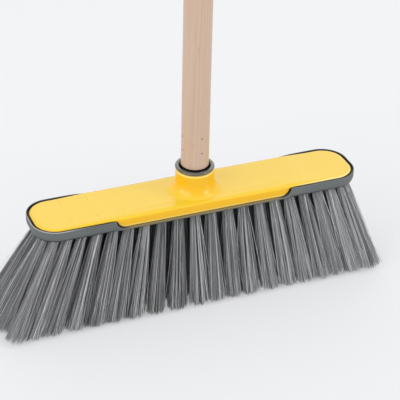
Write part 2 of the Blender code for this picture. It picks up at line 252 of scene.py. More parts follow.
def white_world():
    """The backdrop's white where it is seen directly, and the ambient strength as a light."""
    world = bpy.data.worlds.new("white_studio")
    world.use_nodes = True
    tree = world.node_tree
    back = tree.nodes["Background"]
    back.inputs["Color"].default_value = AMBIENT_TINT
    strength = ranged(tree, seen_directly(tree), 0.0, 1.0, AMBIENT, BACKDROP)
    tree.links.new(strength, back.inputs["Strength"])
    bpy.context.scene.world = world


def soft_box(name, place, sides, power):
    """An area lamp of a width and a height that looks at the broom's head."""
    lamp = bpy.data.lights.new(name, "AREA")
    lamp.shape = "RECTANGLE"
    lamp.size, lamp.size_y = sides
    lamp.energy = power
    box = in_scene(name, lamp)
    box.location = place
    box.rotation_euler = (VIEW_TARGET - place).to_track_quat("-Z", "Y").to_euler()


white_world()
for name, (place, sides, power) in SOFT_BOXES.items():
    soft_box(name, place, sides, power)
print("light: world", AMBIENT, "and", len(SOFT_BOXES), "soft boxes")

# %% Floor
FLOOR_SIDE = 16.0
FLOOR_COLOUR = (0.435, 0.440, 0.457)
FLOOR_ROUGHNESS = 0.9
FLOOR_SPECULAR = 0.1
FLOOR_GLOW = (-0.15, 0.30, 0.395, 0.428)
WHITE = (1.0, 1.0, 1.0, 1.0)


def pale_floor():
    """A wide flat floor with a plain pale finish, which takes the broom's shadow."""
    half = FLOOR_SIDE / 2
    mesh = bpy.data.meshes.new("studio_floor")
    corners = [(-half, -half, 0.0), (half, -half, 0.0), (half, half, 0.0), (-half, half, 0.0)]
    mesh.from_pydata(corners, [], [(0, 1, 2, 3)])
    material, tree, shader, place = start_finish(
        "pale_floor", FLOOR_ROUGHNESS, Base_Color=(*FLOOR_COLOUR, 1.0),
        Specular_IOR_Level=FLOOR_SPECULAR, Emission_Color=WHITE,
    )
    depth = wired(tree, "ShaderNodeSeparateXYZ", place).outputs["Y"]
    glow = computed(tree, "MULTIPLY", seen_directly(tree), ranged(tree, depth, *FLOOR_GLOW))
    tree.links.new(glow, shader.inputs["Emission Strength"])
    mesh.materials.append(material)
    floor = in_scene("studio_floor", mesh)


pale_floor()
print("floor:", FLOOR_SIDE, "m wide")

# %% [markdown]
# ## Effects that several finishes share
#
# Moulded plastic is never one flat colour: it has faint clouds from the flow of the melt and a
# fine grain from the mould. Whatever is handled gets hair-fine scratches, and whatever faces up
# gathers a little dust. Pictures could be wrapped round the pieces for this, but noise on the
# object's own coordinates has no seam and never repeats. Each effect is a node group, built once,
# with sockets for its sizes.

# %% Node groups
GRAIN_DETAIL = 3.0
DUST_FACING = 0.2
DUST_PATCHES = (0.4, 0.7)


def start_group(name, inputs, outputs):
    """An empty node group, its given values and the inputs that take its float results."""
    group = bpy.data.node_groups.new(name, "ShaderNodeTree")
    for label, kind in inputs:
        group.interface.new_socket(name=label, in_out="INPUT", socket_type="NodeSocket" + kind)
    for label in outputs:
        group.interface.new_socket(name=label, in_out="OUTPUT", socket_type="NodeSocketFloat")
    given, result = group.nodes.new("NodeGroupInput"), group.nodes.new("NodeGroupOutput")
    return group, given.outputs, result.inputs


def moulded_skin_group():
    """Clouds: slow noise at the flow scale. Grain: fine noise at the grain scale."""
    inputs = (("Place", "Vector"), ("Flow Scale", "Float"), ("Grain Scale", "Float"))
    group, given, result = start_group("moulded_skin", inputs, ("Clouds", "Grain"))
    for scale, out in (("Flow Scale", "Clouds"), ("Grain Scale", "Grain")):
        noise = noise_of(group, given["Place"], GRAIN_DETAIL, given[scale])
        group.links.new(noise, result[out])
    return group


def settled_dust_group():
    """Dust: how far the surface faces up, times a cloudy noise that breaks it up."""
    inputs = (("Place", "Vector"), ("Patch Scale", "Float"), ("Amount", "Float"))
    group, given, result = start_group("settled_dust", inputs, ("Dust",))
    facing = ranged(group, facing_up(group), DUST_FACING, 1.0)
    noise = noise_of(group, given["Place"], GRAIN_DETAIL, given["Patch Scale"])
    dust = computed(group, "MULTIPLY", facing, ranged(group, noise, *DUST_PATCHES))
    group.links.new(computed(group, "MULTIPLY", dust, given["Amount"]), result["Dust"])
    return group


def hair_scratch_group():
    """Scratches: thin ridges of a noise that is stretched along the stroke."""
    inputs = (("Place", "Vector"), ("Stroke", "Vector"), ("Width", "Float"))
    group, given, result = start_group("hair_scratches", inputs, ("Scratches",))
    noise = noise_of(group, moved(group, "MULTIPLY", given["Place"], given["Stroke"]), 1.0)
    off = computed(group, "ABSOLUTE", computed(group, "SUBTRACT", noise, 0.5))
    group.links.new(computed(group, "LESS_THAN", off, given["Width"]), result["Scratches"])
    return group


def placed_group(tree, group, place, **values):
    """The results of a shared group in this material, with the values of its other inputs."""
    node = wired(tree, "ShaderNodeGroup", node_tree=group)
    tree.links.new(place, node.inputs["Place"])
    for label, value in values.items():
        node.inputs[label.replace("_", " ")].default_value = value
    return node.outputs


MOULDED_SKIN = moulded_skin_group()
SETTLED_DUST = settled_dust_group()
HAIR_SCRATCHES = hair_scratch_group()
print("node groups:", ", ".join(group.name for group in bpy.data.node_groups))

# %% [markdown]
# ## Places taken from the model
#
# The lowest and highest corners of four nodes say where the dressed pieces go. The pole's shoulder
# stands a little above the socket, and the wood just below it is turned thinner. The numbers could
# be typed in again, but a place that is read can't drift from the model.

# %% Places
handle_low, handle_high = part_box("handle")
socket_low, socket_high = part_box("threaded_socket")
cover_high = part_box("top_cover")[1]
bumper_low, bumper_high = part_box("bumper")

POLE_RADIUS = handle_high.x
SHOULDER_STANDOFF = 0.0008
SHOULDER = socket_high.z + SHOULDER_STANDOFF
SPIGOT_NECK = 0.0038
SPIGOT_NECK_RADIUS = 0.0090
print("shoulder at", round(SHOULDER, 5), "pole radius", round(POLE_RADIUS, 5))

# %% [markdown]
# ## The handle's wood
#
# The pole is turned from pale hardwood and sealed with a thin satin lacquer. Its grain comes from
# the tree's rings: rings round a pith line that lies beside the pole and is slightly out of line
# with it, so that they run down the pole as long drawn-out bands. Fine fibre, short dark pores and
# a few pin knots go on top. A picture of a board would show its edge round a pole, while computed
# rings pass right through it. The thin neck below the shoulder is painted near black: a painted
# shadow for the dark gap in the socket's mouth.

# %% Wood values
RING_WIDTH = 0.0026
WAVE_TURN = 20.0
RING_WOBBLE = 2.2
RING_WOBBLE_SCALE = 0.25
PITH_PLACE = (0.046, 0.031, 0.0)
PITH_LEAN = (radians(0.35), radians(-0.5), 0.0)
FIBRE_SCALE = (1100.0, 1100.0, 14.0)
PORE_SCALE = (900.0, 900.0, 90.0)
CLOUD_SCALE = (40.0, 40.0, 6.0)
WOOD_PALE = (0.600, 0.422, 0.312)
WOOD_LAYERS = {
    "rings": ((0.15, 1.0), 0.85, (0.558, 0.380, 0.266)),
    "fibre": ((0.3, 0.75), 0.45, (0.652, 0.490, 0.374)),
    "clouds": ((0.4, 0.75), 0.35, (0.572, 0.384, 0.288)),
    "pores": ((0.68, 0.76), 0.25, (0.330, 0.190, 0.120)),
}
WOOD_KNOT = (0.190, 0.095, 0.065)
KNOT_SHARE = 0.75
WOOD_ROUGHNESS = 0.42
WOOD_GLOSS = (0.36, 0.50)
GLOSS_REACH = (0.2, 0.8)
WOOD_STROKE = (260.0, 260.0, 9.0)
WOOD_SCRATCH = 0.12
WOOD_SCRATCH_WIDTH = 0.006
FIBRE_DEPTH = 0.00006
PIN_KNOTS = (
    (0.0012, -0.0119, 0.1541),
    (0.0015, -0.0119, 0.1400),
    (-0.0120, -0.0010, 0.1537),
    (-0.0119, -0.0014, 0.1404),
)
PIN_KNOT_WIDTH = 0.0005
PIN_KNOT_REACH = 2.4 * PIN_KNOT_WIDTH
# Near black painted shade: the shadow on the thin neck, in the bumper's groove and below the rim.
PAINTED_SHADE = (0.022, 0.018, 0.018)
PAINTED_SHADE_LOW = SHOULDER - 1.6 * SPIGOT_NECK
PAINTED_SHADE_FADE = 0.0012
PAINTED_SHADE_TOP = (SHOULDER + 0.0001, SHOULDER + 0.0003)
print("pin knots:", len(PIN_KNOTS), "and dirt from", round(PAINTED_SHADE_LOW, 5), "up")


# %% Wood finish
def scaled_place(tree, place, scale, location=None, rotation=None):
    """The object's coordinates through a mapping."""
    return wired(tree, "ShaderNodeMapping", place, location, rotation, scale).outputs["Vector"]


def pin_knots(tree, place):
    """A mask of small dark knots: for each, one where the distance is under its width."""
    total = 0.0
    for knot in PIN_KNOTS:
        node = wired(tree, "ShaderNodeVectorMath", place, knot, operation="DISTANCE")
        spot = ranged(tree, node.outputs["Value"], PIN_KNOT_WIDTH, PIN_KNOT_REACH, 1.0, 0.0)
        total = computed(tree, "MAXIMUM", spot, total)
    return total


def neck_painted_shade(tree):
    """Painted shade: one from the thin neck's foot up to the shoulder, zero above and below."""
    height = place_of(tree)[2]
    above = ranged(tree, height, PAINTED_SHADE_LOW - PAINTED_SHADE_FADE, PAINTED_SHADE_LOW)
    return computed(tree, "MULTIPLY", above, ranged(tree, height, *PAINTED_SHADE_TOP, 1.0, 0.0))


def lacquered_wood():
    """Rings, fibre, clouds, pores and knots, each a layer over the pale wood, under a lacquer.

    A row of the table gives the values between which a layer fades in, its share and its colour.
    """
    material, tree, shader, place = start_finish(
        "lacquered_wood", WOOD_ROUGHNESS, Coat_Weight=0.25, Coat_Roughness=0.22
    )
    pith = scaled_place(tree, place, None, PITH_PLACE, PITH_LEAN)
    rings = wired(
        tree, "ShaderNodeTexWave", pith, tau / (WAVE_TURN * RING_WIDTH), RING_WOBBLE, None,
        RING_WOBBLE_SCALE, wave_type="RINGS", rings_direction="Z",
    ).outputs["Fac"]
    fibre = noise_of(tree, scaled_place(tree, place, FIBRE_SCALE), 3.0)
    pores = noise_of(tree, scaled_place(tree, place, PORE_SCALE), 1.0)
    clouds = noise_of(tree, scaled_place(tree, place, CLOUD_SCALE), 2.0)
    colour = WOOD_PALE
    for mask, (reach, share, tone) in zip((rings, fibre, clouds, pores), WOOD_LAYERS.values()):
        colour = layered(tree, colour, (ranged(tree, mask, *reach), share, tone))
    knots = (pin_knots(tree, place), KNOT_SHARE, WOOD_KNOT)
    # A painted shadow on the thin neck below the shoulder.
    colour = layered(tree, colour, knots, (neck_painted_shade(tree), 1.0, PAINTED_SHADE))
    tree.links.new(colour, shader.inputs["Base Color"])
    worn = placed_group(
        tree, HAIR_SCRATCHES, place, Stroke=WOOD_STROKE, Width=WOOD_SCRATCH_WIDTH
    )[0]
    rough = ranged(tree, fibre, *GLOSS_REACH, *WOOD_GLOSS)
    marked = computed(tree, "ADD", rough, computed(tree, "MULTIPLY", worn, WOOD_SCRATCH))
    tree.links.new(marked, shader.inputs["Roughness"])
    bumped(tree, shader, fibre, FIBRE_DEPTH)
    return material


WOOD = lacquered_wood()
print("finish:", WOOD.name)

# %% [markdown]
# ## The plastics and the rubber
#
# The cover is glossy yellow plastic, the bumper a softer grey rubber with a satin skin, and the
# socket and the block are harder dark grey plastic. Each could have nodes of its own, but all are
# moulded, so one function makes them with their own values: gloss on the cover, more dust and
# grain on the rubber. On the ring round the handle, painted shade darkens the corner over the neck.

# %% Moulded finishes
COVER_YELLOW = (0.885, 0.484, 0.002)
COVER_PALE = (0.896, 0.497, 0.003)
BUMPER_GREY = (0.102, 0.116, 0.116)
BUMPER_PALE = (0.126, 0.140, 0.139)
SOCKET_GREY = (0.071, 0.073, 0.053)
SOCKET_PALE = (0.086, 0.087, 0.062)
DUST_TONE = (0.62, 0.60, 0.55)
FLOW_SCALE = 38.0
PATCH_SCALE = 55.0
MOULD_STROKE = (14.0, 420.0, 420.0)
MOULD_SCRATCH = 0.04
MOULD_SCRATCH_WIDTH = 0.004
CLOUD_REACH = (0.3, 0.7)
GRAIN_REACH = (0.25, 0.75)
# Painted shade: a brown band over the flange's lowest part, above the neck.
FLANGE_PAINTED_SHADE = (socket_high.z - 0.0027, socket_high.z - 0.0012)
FLANGE_PAINTED_SHADE_SHARE = 0.85
FLANGE_SHADE_BROWN = (0.055, 0.038, 0.012)


def moulded_finish(name, tones, gloss, dust, grain, **shader_values):
    """Clouds between two tones, dust on top, fine scratches in the gloss and grain as bump.

    The gloss is a lowest and a highest roughness, the dust an amount, and the grain a scale and a
    depth in metres.
    """
    material, tree, shader, place = start_finish(name, gloss[0], **shader_values)
    skin = placed_group(tree, MOULDED_SKIN, place, Flow_Scale=FLOW_SCALE, Grain_Scale=grain[0])
    dusty = placed_group(tree, SETTLED_DUST, place, Patch_Scale=PATCH_SCALE, Amount=dust)[0]
    worn = placed_group(
        tree, HAIR_SCRATCHES, place, Stroke=MOULD_STROKE, Width=MOULD_SCRATCH_WIDTH
    )[0]
    body = mixed(tree, ranged(tree, skin["Clouds"], *CLOUD_REACH), *tones)
    tree.links.new(mixed(tree, dusty, body, DUST_TONE), shader.inputs["Base Color"])
    rough = ranged(tree, skin["Grain"], *GRAIN_REACH, *gloss)
    marked = computed(tree, "ADD", rough, computed(tree, "MULTIPLY", worn, MOULD_SCRATCH))
    tree.links.new(marked, shader.inputs["Roughness"])
    bumped(tree, shader, skin["Grain"], grain[1])
    return material


def brown_shade_on_flange(tree, colour):
    """Painted shade: brown over the lowest part of the flange, above the neck."""
    shade_band = height_band(tree, place_of(tree)[2], *FLANGE_PAINTED_SHADE)
    return layered(tree, colour, (shade_band, FLANGE_PAINTED_SHADE_SHARE, FLANGE_SHADE_BROWN))


YELLOW = moulded_finish(
    "yellow_plastic", (COVER_YELLOW, COVER_PALE), (0.27, 0.31), 0.015, (900.0, 0.000002),
    Coat_Weight=0.5, Coat_Roughness=0.18, Specular_IOR_Level=0.25,
)
RUBBER = moulded_finish(
    "grey_rubber", (BUMPER_GREY, BUMPER_PALE), (0.48, 0.62), 0.08, (1500.0, 0.00003)
)
SOCKET_TONES = (SOCKET_GREY, SOCKET_PALE)
RING = moulded_finish(
    "ring_plastic", SOCKET_TONES, (0.26, 0.36), 0.05, (1200.0, 0.00001), Coat_Weight=0.8
)
DARK = moulded_finish("dark_plastic", SOCKET_TONES, (0.34, 0.48), 0.08, (1200.0, 0.00002))
repaint(RING, brown_shade_on_flange)
print("finishes:", YELLOW.name, RUBBER.name, RING.name, DARK.name)

# %% [markdown]
# ## Painted sheen, highlights and shade on the cover
#
# The yellow plastic is a warm yellow on its sides. The flat top, and in part both ends, are painted
# a paler yellow: a painted sheen for the white studio that the top mirrors. Painted highlights, the
# palest of all, lie along the edges that catch the light: the lip of the neck, the lower edge of
# the skirt and the rim at the right end. Each is a band of heights, some of them kept to a part of
# the head. They could be painted by hand on a map, but a band needs no map and stays sharp from
# close by. Below the rim, at both ends, painted shade darkens the wall that goes down into the
# bumper's groove.

# %% Painted sheen, highlights and shade on the cover
# Painted sheen: a paler yellow on what faces up and, in part, round both ends.
PAINTED_SHEEN_YELLOW = (0.850, 0.570, 0.028)
PAINTED_SHEEN_FACING = (0.35, 0.92)
PAINTED_SHEEN_AT_ENDS = (0.074, 0.084, 0.0, 0.65)
# Painted highlights on the neck's lip, the skirt's lower edge and the right end's rim.
PAINTED_HIGHLIGHT_YELLOW = (0.980, 0.740, 0.200)
PAINTED_HIGHLIGHT_SHARE = 0.8
NECK_LIP = (cover_high.z - 0.0013, cover_high.z)
SKIRT_EDGE = (bumper_high.z - 0.0071, bumper_high.z - 0.0059)
SKIRT_EDGE_ENDS = (0.075, 0.080)
RIM_EDGE = (bumper_high.z, bumper_high.z + 0.0004)
RIM_PAINTED_HIGHLIGHT = (1.0, 0.860, 0.400)
RIM_EDGE_START = (0.082, 0.092)
# Painted shade on the wall below the rim at both ends.
RIM_PAINTED_SHADE = (bumper_high.z - 0.0030, bumper_high.z - 0.0005)
RIM_PAINTED_SHADE_START = (0.079, 0.081)
RIM_PAINTED_SHADE_SHARE = 0.9


def painted_sheen_and_highlights(tree, colour):
    """Painted sheen over what faces up, then painted highlights and shade over bands of height."""
    _, along, height, away = place_of(tree)

    def band(heights, *part):
        """A band of heights, kept to a part of the head."""
        return computed(tree, "MULTIPLY", height_band(tree, height, *heights), ranged(tree, *part))

    ends = ranged(tree, away, *PAINTED_SHEEN_AT_ENDS)
    painted_sheen = computed(tree, "MAXIMUM", ranged(tree, facing_up(tree), *PAINTED_SHEEN_FACING), ends)
    skirt = band(SKIRT_EDGE, away, *SKIRT_EDGE_ENDS, 1.0, 0.0)
    edges = computed(tree, "MAXIMUM", skirt, height_band(tree, height, *NECK_LIP))
    return layered(
        tree, colour,
        (painted_sheen, 1.0, PAINTED_SHEEN_YELLOW),
        (edges, PAINTED_HIGHLIGHT_SHARE, PAINTED_HIGHLIGHT_YELLOW),
        (band(RIM_EDGE, along, *RIM_EDGE_START), PAINTED_HIGHLIGHT_SHARE, RIM_PAINTED_HIGHLIGHT),
        (band(RIM_PAINTED_SHADE, away, *RIM_PAINTED_SHADE_START), RIM_PAINTED_SHADE_SHARE, PAINTED_SHADE),
    )


repaint(YELLOW, painted_sheen_and_highlights)
# The skirt's lower edge carries a painted highlight between these heights.
print("skirt's edge rubbed between", [round(value, 4) for value in SKIRT_EDGE])

# %% [markdown]
# ## The warm strip
#
# Right under the yellow skirt the grey rubber looks brown, because it is lit by the skirt and has
# taken on some of its colour. The lamps alone give too little of it, so a mask does this: it is
# one along the strip and fades out where the bumper rises at both ends.

# %% Warm strip under the skirt
STRIP_BROWN = (0.130, 0.118, 0.080)
STRIP_GOLD = (0.235, 0.190, 0.078)
STRIP_HALF = (0.066, 0.074)
STRIP_LEVEL = (bumper_low.z + 0.0006, bumper_low.z + 0.0016)
STRIP_SHARES = (0.4, 1.0)
GOLD_LEVEL = (bumper_low.z + 0.0012, bumper_low.z + 0.0026)


def warm_strip(tree, colour):
    """Brown over the strip, and more golden the nearer to the skirt."""
    height, away = place_of(tree)[2:]
    inside = ranged(tree, away, *STRIP_HALF, 1.0, 0.0)
    above = ranged(tree, height, *STRIP_LEVEL, *STRIP_SHARES)
    strip = mixed(tree, ranged(tree, height, *GOLD_LEVEL), STRIP_BROWN, STRIP_GOLD)
    return layered(tree, colour, (computed(tree, "MULTIPLY", inside, above), 1.0, strip))


repaint(RUBBER, warm_strip)
print("strip warmed between", [round(value, 4) for value in STRIP_LEVEL])

# %% [markdown]
# ## The bristles' finish
#
# A bristle is a drawn plastic filament, grey all through. Real tufts look streaky, because some
# filaments are a shade lighter and their split ends catch more light than their roots. A finish
# for each shade would take dozens, so one finish reads two values that ride on the points: the
# filament's tone, and how far along it the point lies.

# %% Bristle finish
BRISTLE_DEEP = (0.085, 0.087, 0.089)
BRISTLE_PALE = (0.860, 0.865, 0.875)
BRISTLE_SHADES = (0.90, 1.05)
BRISTLE_GLOSS = (0.46, 0.72)
DULL_REACH = (0.3, 1.0)


def drawn_filament():
    """The tone picks a grey between deep and pale, and the place along the filament shades it."""
    material, tree, shader, _ = start_finish(
        "drawn_filament", BRISTLE_GLOSS[0], Specular_IOR_Level=0.35
    )
    tone, along = (
        wired(tree, "ShaderNodeAttribute", attribute_name=name).outputs["Fac"]
        for name in ("tone", "along")
    )
    grey = mixed(tree, tone, BRISTLE_DEEP, BRISTLE_PALE)
    shade = ranged(tree, along, 0.0, 1.0, *BRISTLE_SHADES)
    tree.links.new(moved(tree, "SCALE", grey, None, None, shade), shader.inputs["Base Color"])
    rough = ranged(tree, along, *DULL_REACH, *BRISTLE_GLOSS)
    tree.links.new(rough, shader.inputs["Roughness"])
    return material


FILAMENT = drawn_filament()
print("finish:", FILAMENT.name)

# %% [markdown]
# ## Sewing surfaces together
#
# Such pieces could be pulled out of cubes and cylinders by hand. Here every piece is a surface
# worked out with numpy as a grid of points, or several grids that share an edge, because a formula
# can be read, checked and changed later. The helpers join the points of each grid into four-sided
# faces, sew the grids where their points meet, close poles by merging what lies on one spot, and
# turn all faces outwards.

# %% Helpers for grids
SEW_DISTANCE = 2e-6
CRISP_ANGLE = radians(38.0)


def grid_faces(rows, columns, closed):
    """Corner numbers of a grid's faces, row by row; closed joins the last column to the first."""
    row, column = np.meshgrid(
        np.arange(rows - 1), np.arange(columns - (not closed)), indexing="ij"
    )
    here, below, after = row * columns, (row + 1) * columns, (column + 1) % columns
    corners = (here + column, here + after, below + after, below + column)
    return np.stack(corners, axis=-1).reshape(-1, 4)


def fill_mesh(name, points, faces):
    """A mesh from an array of points and an array of faces with the same number of corners."""
    mesh = bpy.data.meshes.new(name)
    count, sides = faces.shape
    mesh.vertices.add(len(points))
    mesh.vertices.foreach_set("co", np.asarray(points, np.float32).ravel())
    mesh.loops.add(count * sides)
    mesh.loops.foreach_set("vertex_index", faces.astype(np.int32).ravel())
    mesh.polygons.add(count)
    mesh.polygons.foreach_set("loop_start", np.arange(0, count * sides, sides, dtype=np.int32))
    mesh.update(calc_edges=True)
    return mesh


def sewn_piece(name, patches, material, crisp=CRISP_ANGLE):
    """One closed piece from (grid, closed) patches, with smooth faces and crisp sharp edges."""
    points, faces, start = [], [], 0
    for grid, closed in patches:
        rows, columns = grid.shape[:2]
        points.append(grid.reshape(-1, 3))
        faces.append(grid_faces(rows, columns, closed) + start)
        start += rows * columns
    mesh = fill_mesh(name, np.concatenate(points), np.concatenate(faces))
    data = bmesh.new()
    data.from_mesh(mesh)
    bmesh.ops.remove_doubles(data, verts=data.verts[:], dist=SEW_DISTANCE)
    bmesh.ops.recalc_face_normals(data, faces=data.faces[:])
    open_edges = sum(not edge.is_manifold for edge in data.edges)
    data.to_mesh(mesh)
    data.free()
    mesh.shade_smooth()
    mesh.set_sharp_from_angle(angle=crisp)
    mesh.materials.append(material)
    print(name, len(mesh.polygons), "faces, open edges:", open_edges)
    return in_scene(name, mesh)


def ride_for(piece, body, slot, *nodes):
    """Let a piece move with a body and stand for its nodes; the slot is not used."""
    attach(piece, body)
    if nodes:
        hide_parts(*nodes)


def smooth_step(value, low, high):
    """From 0 at a low value to 1 at a high one, with level ends: 3 s^2 - 2 s^3 for the share s."""
    share = np.clip((value - low) / (high - low), 0.0, 1.0)
    return share * share * (3.0 - 2.0 * share)


print("faces of a closed grid of 3 rows and 4 columns:", len(grid_faces(3, 4, True)))

# %% [markdown]
# ## Turned pieces and the screw thread
#
# The handle and its socket are round, so each is a profile of radius over height, carried once
# round the axis. The Screw modifier could turn the profile and wind a thread too, but the two
# would still have to be joined. Here a thread makes the radius depend on the angle: the groove
# climbs one pitch for each turn. The socket's ridge runs in the handle's groove, as in the real
# pair.

# %% Turned surfaces
TURNED_COLUMNS = 96
THREAD_PITCH = 0.004
THREAD_DEPTH = 0.0010
GROOVE_SHARE = 0.55
GROOVE_SLOPE = 1.5
ROWS_A_PITCH = 12


def turned_grid(radius, height):
    """Rows of points at (r cos a, r sin a, z), where r may differ from column to column."""
    turn = np.arange(TURNED_COLUMNS) * tau / TURNED_COLUMNS
    shape = (len(height), TURNED_COLUMNS)
    radius = np.broadcast_to(np.asarray(radius).reshape(len(height), -1), shape)
    level = np.broadcast_to(np.asarray(height)[:, None], shape)
    return np.stack((radius * np.cos(turn), radius * np.sin(turn), level), axis=-1)


def pole_point(height):
    """A row of points that all lie on the axis at a height, which closes a turned piece."""
    return turned_grid((0.0,), (height,))


def thread_wave(height):
    """One in the middle of the groove and zero on the crest, for each height and angle."""
    turn = np.arange(TURNED_COLUMNS) / TURNED_COLUMNS
    phase = (height[:, None] / THREAD_PITCH - turn) % 1.0
    from_middle = np.abs(phase - 0.5) / (GROOVE_SHARE / 2)
    return np.clip(GROOVE_SLOPE - GROOVE_SLOPE * from_middle, 0.0, 1.0)


def arc_rows(centre_radius, centre_height, reach, start, end, count):
    """Radii and heights along an arc between two angles, measured from the outward direction."""
    turn = np.linspace(start, end, count)
    return np.stack((centre_radius + reach * np.cos(turn), centre_height + reach * np.sin(turn)))


print("thread: pitch", THREAD_PITCH, "depth", THREAD_DEPTH)

# %% [markdown]
# ## The handle
#
# The lower end of the pole is cut down to a spigot with a coarse wooden thread, which is what the
# socket grips. Above the shoulder the pole is plain, with its lower edge rounded over by hand and
# a dome turned on its top. It could be put together from cylinders, but the joints would show in
# its shading, so the rows of one profile follow each other from the spigot's tip up.

# %% Handle
SHOULDER_ROUND = 0.0008
SPIGOT_RADIUS = 0.0111
SPIGOT_LEAD = 0.0016
DOME_HEIGHT = 0.008
EDGE_ROWS = 7
SHAFT_ROWS = 24
DOME_ROWS = 16
SHAFT_START = 4 * SHOULDER_ROUND


def screwed_handle():
    """Spigot, thread, shoulder, pole and dome as one turned surface."""
    tip, top = handle_low.z, handle_high.z
    rows = int((SHOULDER - tip) / THREAD_PITCH * ROWS_A_PITCH)
    height = np.linspace(tip, SHOULDER, rows)
    crest = np.minimum(SPIGOT_RADIUS, SPIGOT_RADIUS - SPIGOT_LEAD + (height - tip))
    below_neck = np.clip(SHOULDER - SPIGOT_NECK - height, 0.0, None)
    run_out = np.clip(below_neck / (THREAD_PITCH / 2), 0.0, 1.0)
    depth = THREAD_DEPTH * (1.0 - run_out[:, None] * (1.0 - thread_wave(height)))
    crest = np.minimum(crest, SPIGOT_NECK_RADIUS + below_neck)
    spigot = turned_grid(np.minimum(crest[:, None], SPIGOT_RADIUS - depth), height)
    edge = arc_rows(
        POLE_RADIUS - SHOULDER_ROUND, SHOULDER + SHOULDER_ROUND, SHOULDER_ROUND,
        -pi / 2, 0.0, EDGE_ROWS,
    )
    dome_low = top - DOME_HEIGHT
    levels = np.linspace(SHOULDER + SHAFT_START, dome_low - DOME_HEIGHT, SHAFT_ROWS)
    shaft = np.stack((np.full(SHAFT_ROWS, POLE_RADIUS), levels))
    turn = np.linspace(0.0, pi / 2, DOME_ROWS)
    dome = np.stack((POLE_RADIUS * np.cos(turn), dome_low + DOME_HEIGHT * np.sin(turn)))
    dome[0, -1] = 0.0
    pole = turned_grid(*np.concatenate((edge, shaft, dome), axis=1))
    grid = np.concatenate((pole_point(tip), spigot, pole))
    return sewn_piece("turned_handle", [(grid, True)], WOOD)


handle = screwed_handle()
ride_for(handle, "handle", "handle_wood", "handle")

# %% [markdown]
# ## The screw socket
#
# A dark plastic sleeve sits in the neck of the cover. What shows is its round flange, which looks
# like a ring under the handle, and the funnel that guides the spigot in. Inside runs the ridge
# that holds the thread. It could be bored out of a solid, which leaves ragged faces along the cut.
# One profile that goes up the bore, over the flange and down the outside has none.

# %% Socket
SOCKET_WALL = 0.0025
SOCKET_CLEARANCE = 0.0003
SOCKET_FLOOR = 0.0015
RIDGE_HEIGHT = 0.0008
RIDGE_SHARPNESS = 1.6
FUNNEL_RADIUS = 0.0137
FUNNEL_DEPTH = 0.0035
FLANGE_HEIGHT = 0.0019
FLANGE_INNER_ROUND = 0.0005
FLANGE_OUTER_ROUND = 0.0011
FLANGE_UNDER_ROUND = 0.0005
SMALL_ROUND_ROWS = 5
LARGE_ROUND_ROWS = 9


def screw_socket():
    """Bore with its ridge, funnel, rounded flange and outer sleeve as one turned surface."""
    bottom, top, flange = socket_low.z, socket_high.z, socket_high.x
    bore = SPIGOT_RADIUS + SOCKET_CLEARANCE
    floor, funnel_low = bottom + SOCKET_FLOOR, top - FUNNEL_DEPTH
    rows = int((funnel_low - floor) / THREAD_PITCH * ROWS_A_PITCH)
    height = np.linspace(floor, funnel_low, rows)
    ends = np.clip(np.minimum(height - floor, funnel_low - height) / THREAD_PITCH, 0.0, 1.0)
    wave = 1.0 - RIDGE_SHARPNESS * (1.0 - thread_wave(height))
    ridge = np.clip(wave, 0.0, 1.0) * ends[:, None]
    inside = turned_grid(bore - RIDGE_HEIGHT * ridge, height)
    under_level, sleeve = top - FLANGE_HEIGHT, bore + SOCKET_WALL
    inner, outer, under = FLANGE_INNER_ROUND, FLANGE_OUTER_ROUND, FLANGE_UNDER_ROUND
    profile = (
        arc_rows(FUNNEL_RADIUS + inner, top - inner, inner, pi, pi / 2, SMALL_ROUND_ROWS),
        arc_rows(flange - outer, top - outer, outer, pi / 2, 0.0, LARGE_ROUND_ROWS),
        arc_rows(flange - under, under_level + under, under, 0.0, -pi / 2, SMALL_ROUND_ROWS),
        ((sleeve, sleeve, 0.0), (under_level, bottom, bottom)),
    )
    outside = turned_grid(*np.concatenate(profile, axis=1))
    grid = np.concatenate((pole_point(floor), inside, outside))
    return sewn_piece("screw_socket", [(grid, True)], RING)


socket = screw_socket()
ride_for(socket, "head", "socket_plastic", "threaded_socket")

# %% [markdown]
# ## The outline of the head
#
# Seen from above the head is a long rectangle with round corners. A box with rounded edges would
# look alike, but cover and bumper both have to follow it without a gap. So its points are worked
# out once, each with its outward direction. They lie close together where something happens: at
# the steps of the skirt, the grooves and the corners. The points at the straight ends match the
# columns of the cover's flat top, so that the two can be sewn.

# %% Outline values
HALF_LENGTH = cover_high.x
HALF_DEPTH = 0.025
CORNER_RADIUS = 0.019
SKIRT_HALF = 0.071
STEP_RADIUS = 0.0074
SKIRT_PROUD = cover_high.y - HALF_DEPTH
BLEND_LENGTH = 0.018
GROOVE_FIRST = 0.070
GROOVE_PITCH = 0.023
GROOVE_COUNT = 3
GROOVE_HALF = 0.0018
GROOVE_RADIUS = 0.0022
GROOVE_DEPTH = 0.00022
GROOVE_FADE = (0.009, 0.022)
HOLE_HALF = 0.030
END_COLUMNS = 25
STATION_PITCH = 0.0025
BLEND_PITCH = 0.001
HOLE_STATIONS = 19
STEP_STATIONS = 13
GROOVE_STATIONS = 13
CORNER_STATIONS = 17
CORNER_X = HALF_LENGTH - CORNER_RADIUS
CORNER_Y = HALF_DEPTH - CORNER_RADIUS
GROOVE_PLACES = GROOVE_FIRST + GROOVE_PITCH * np.arange(GROOVE_COUNT)
print("grooves at", GROOVE_PLACES.round(4), "from the middle, to both sides")


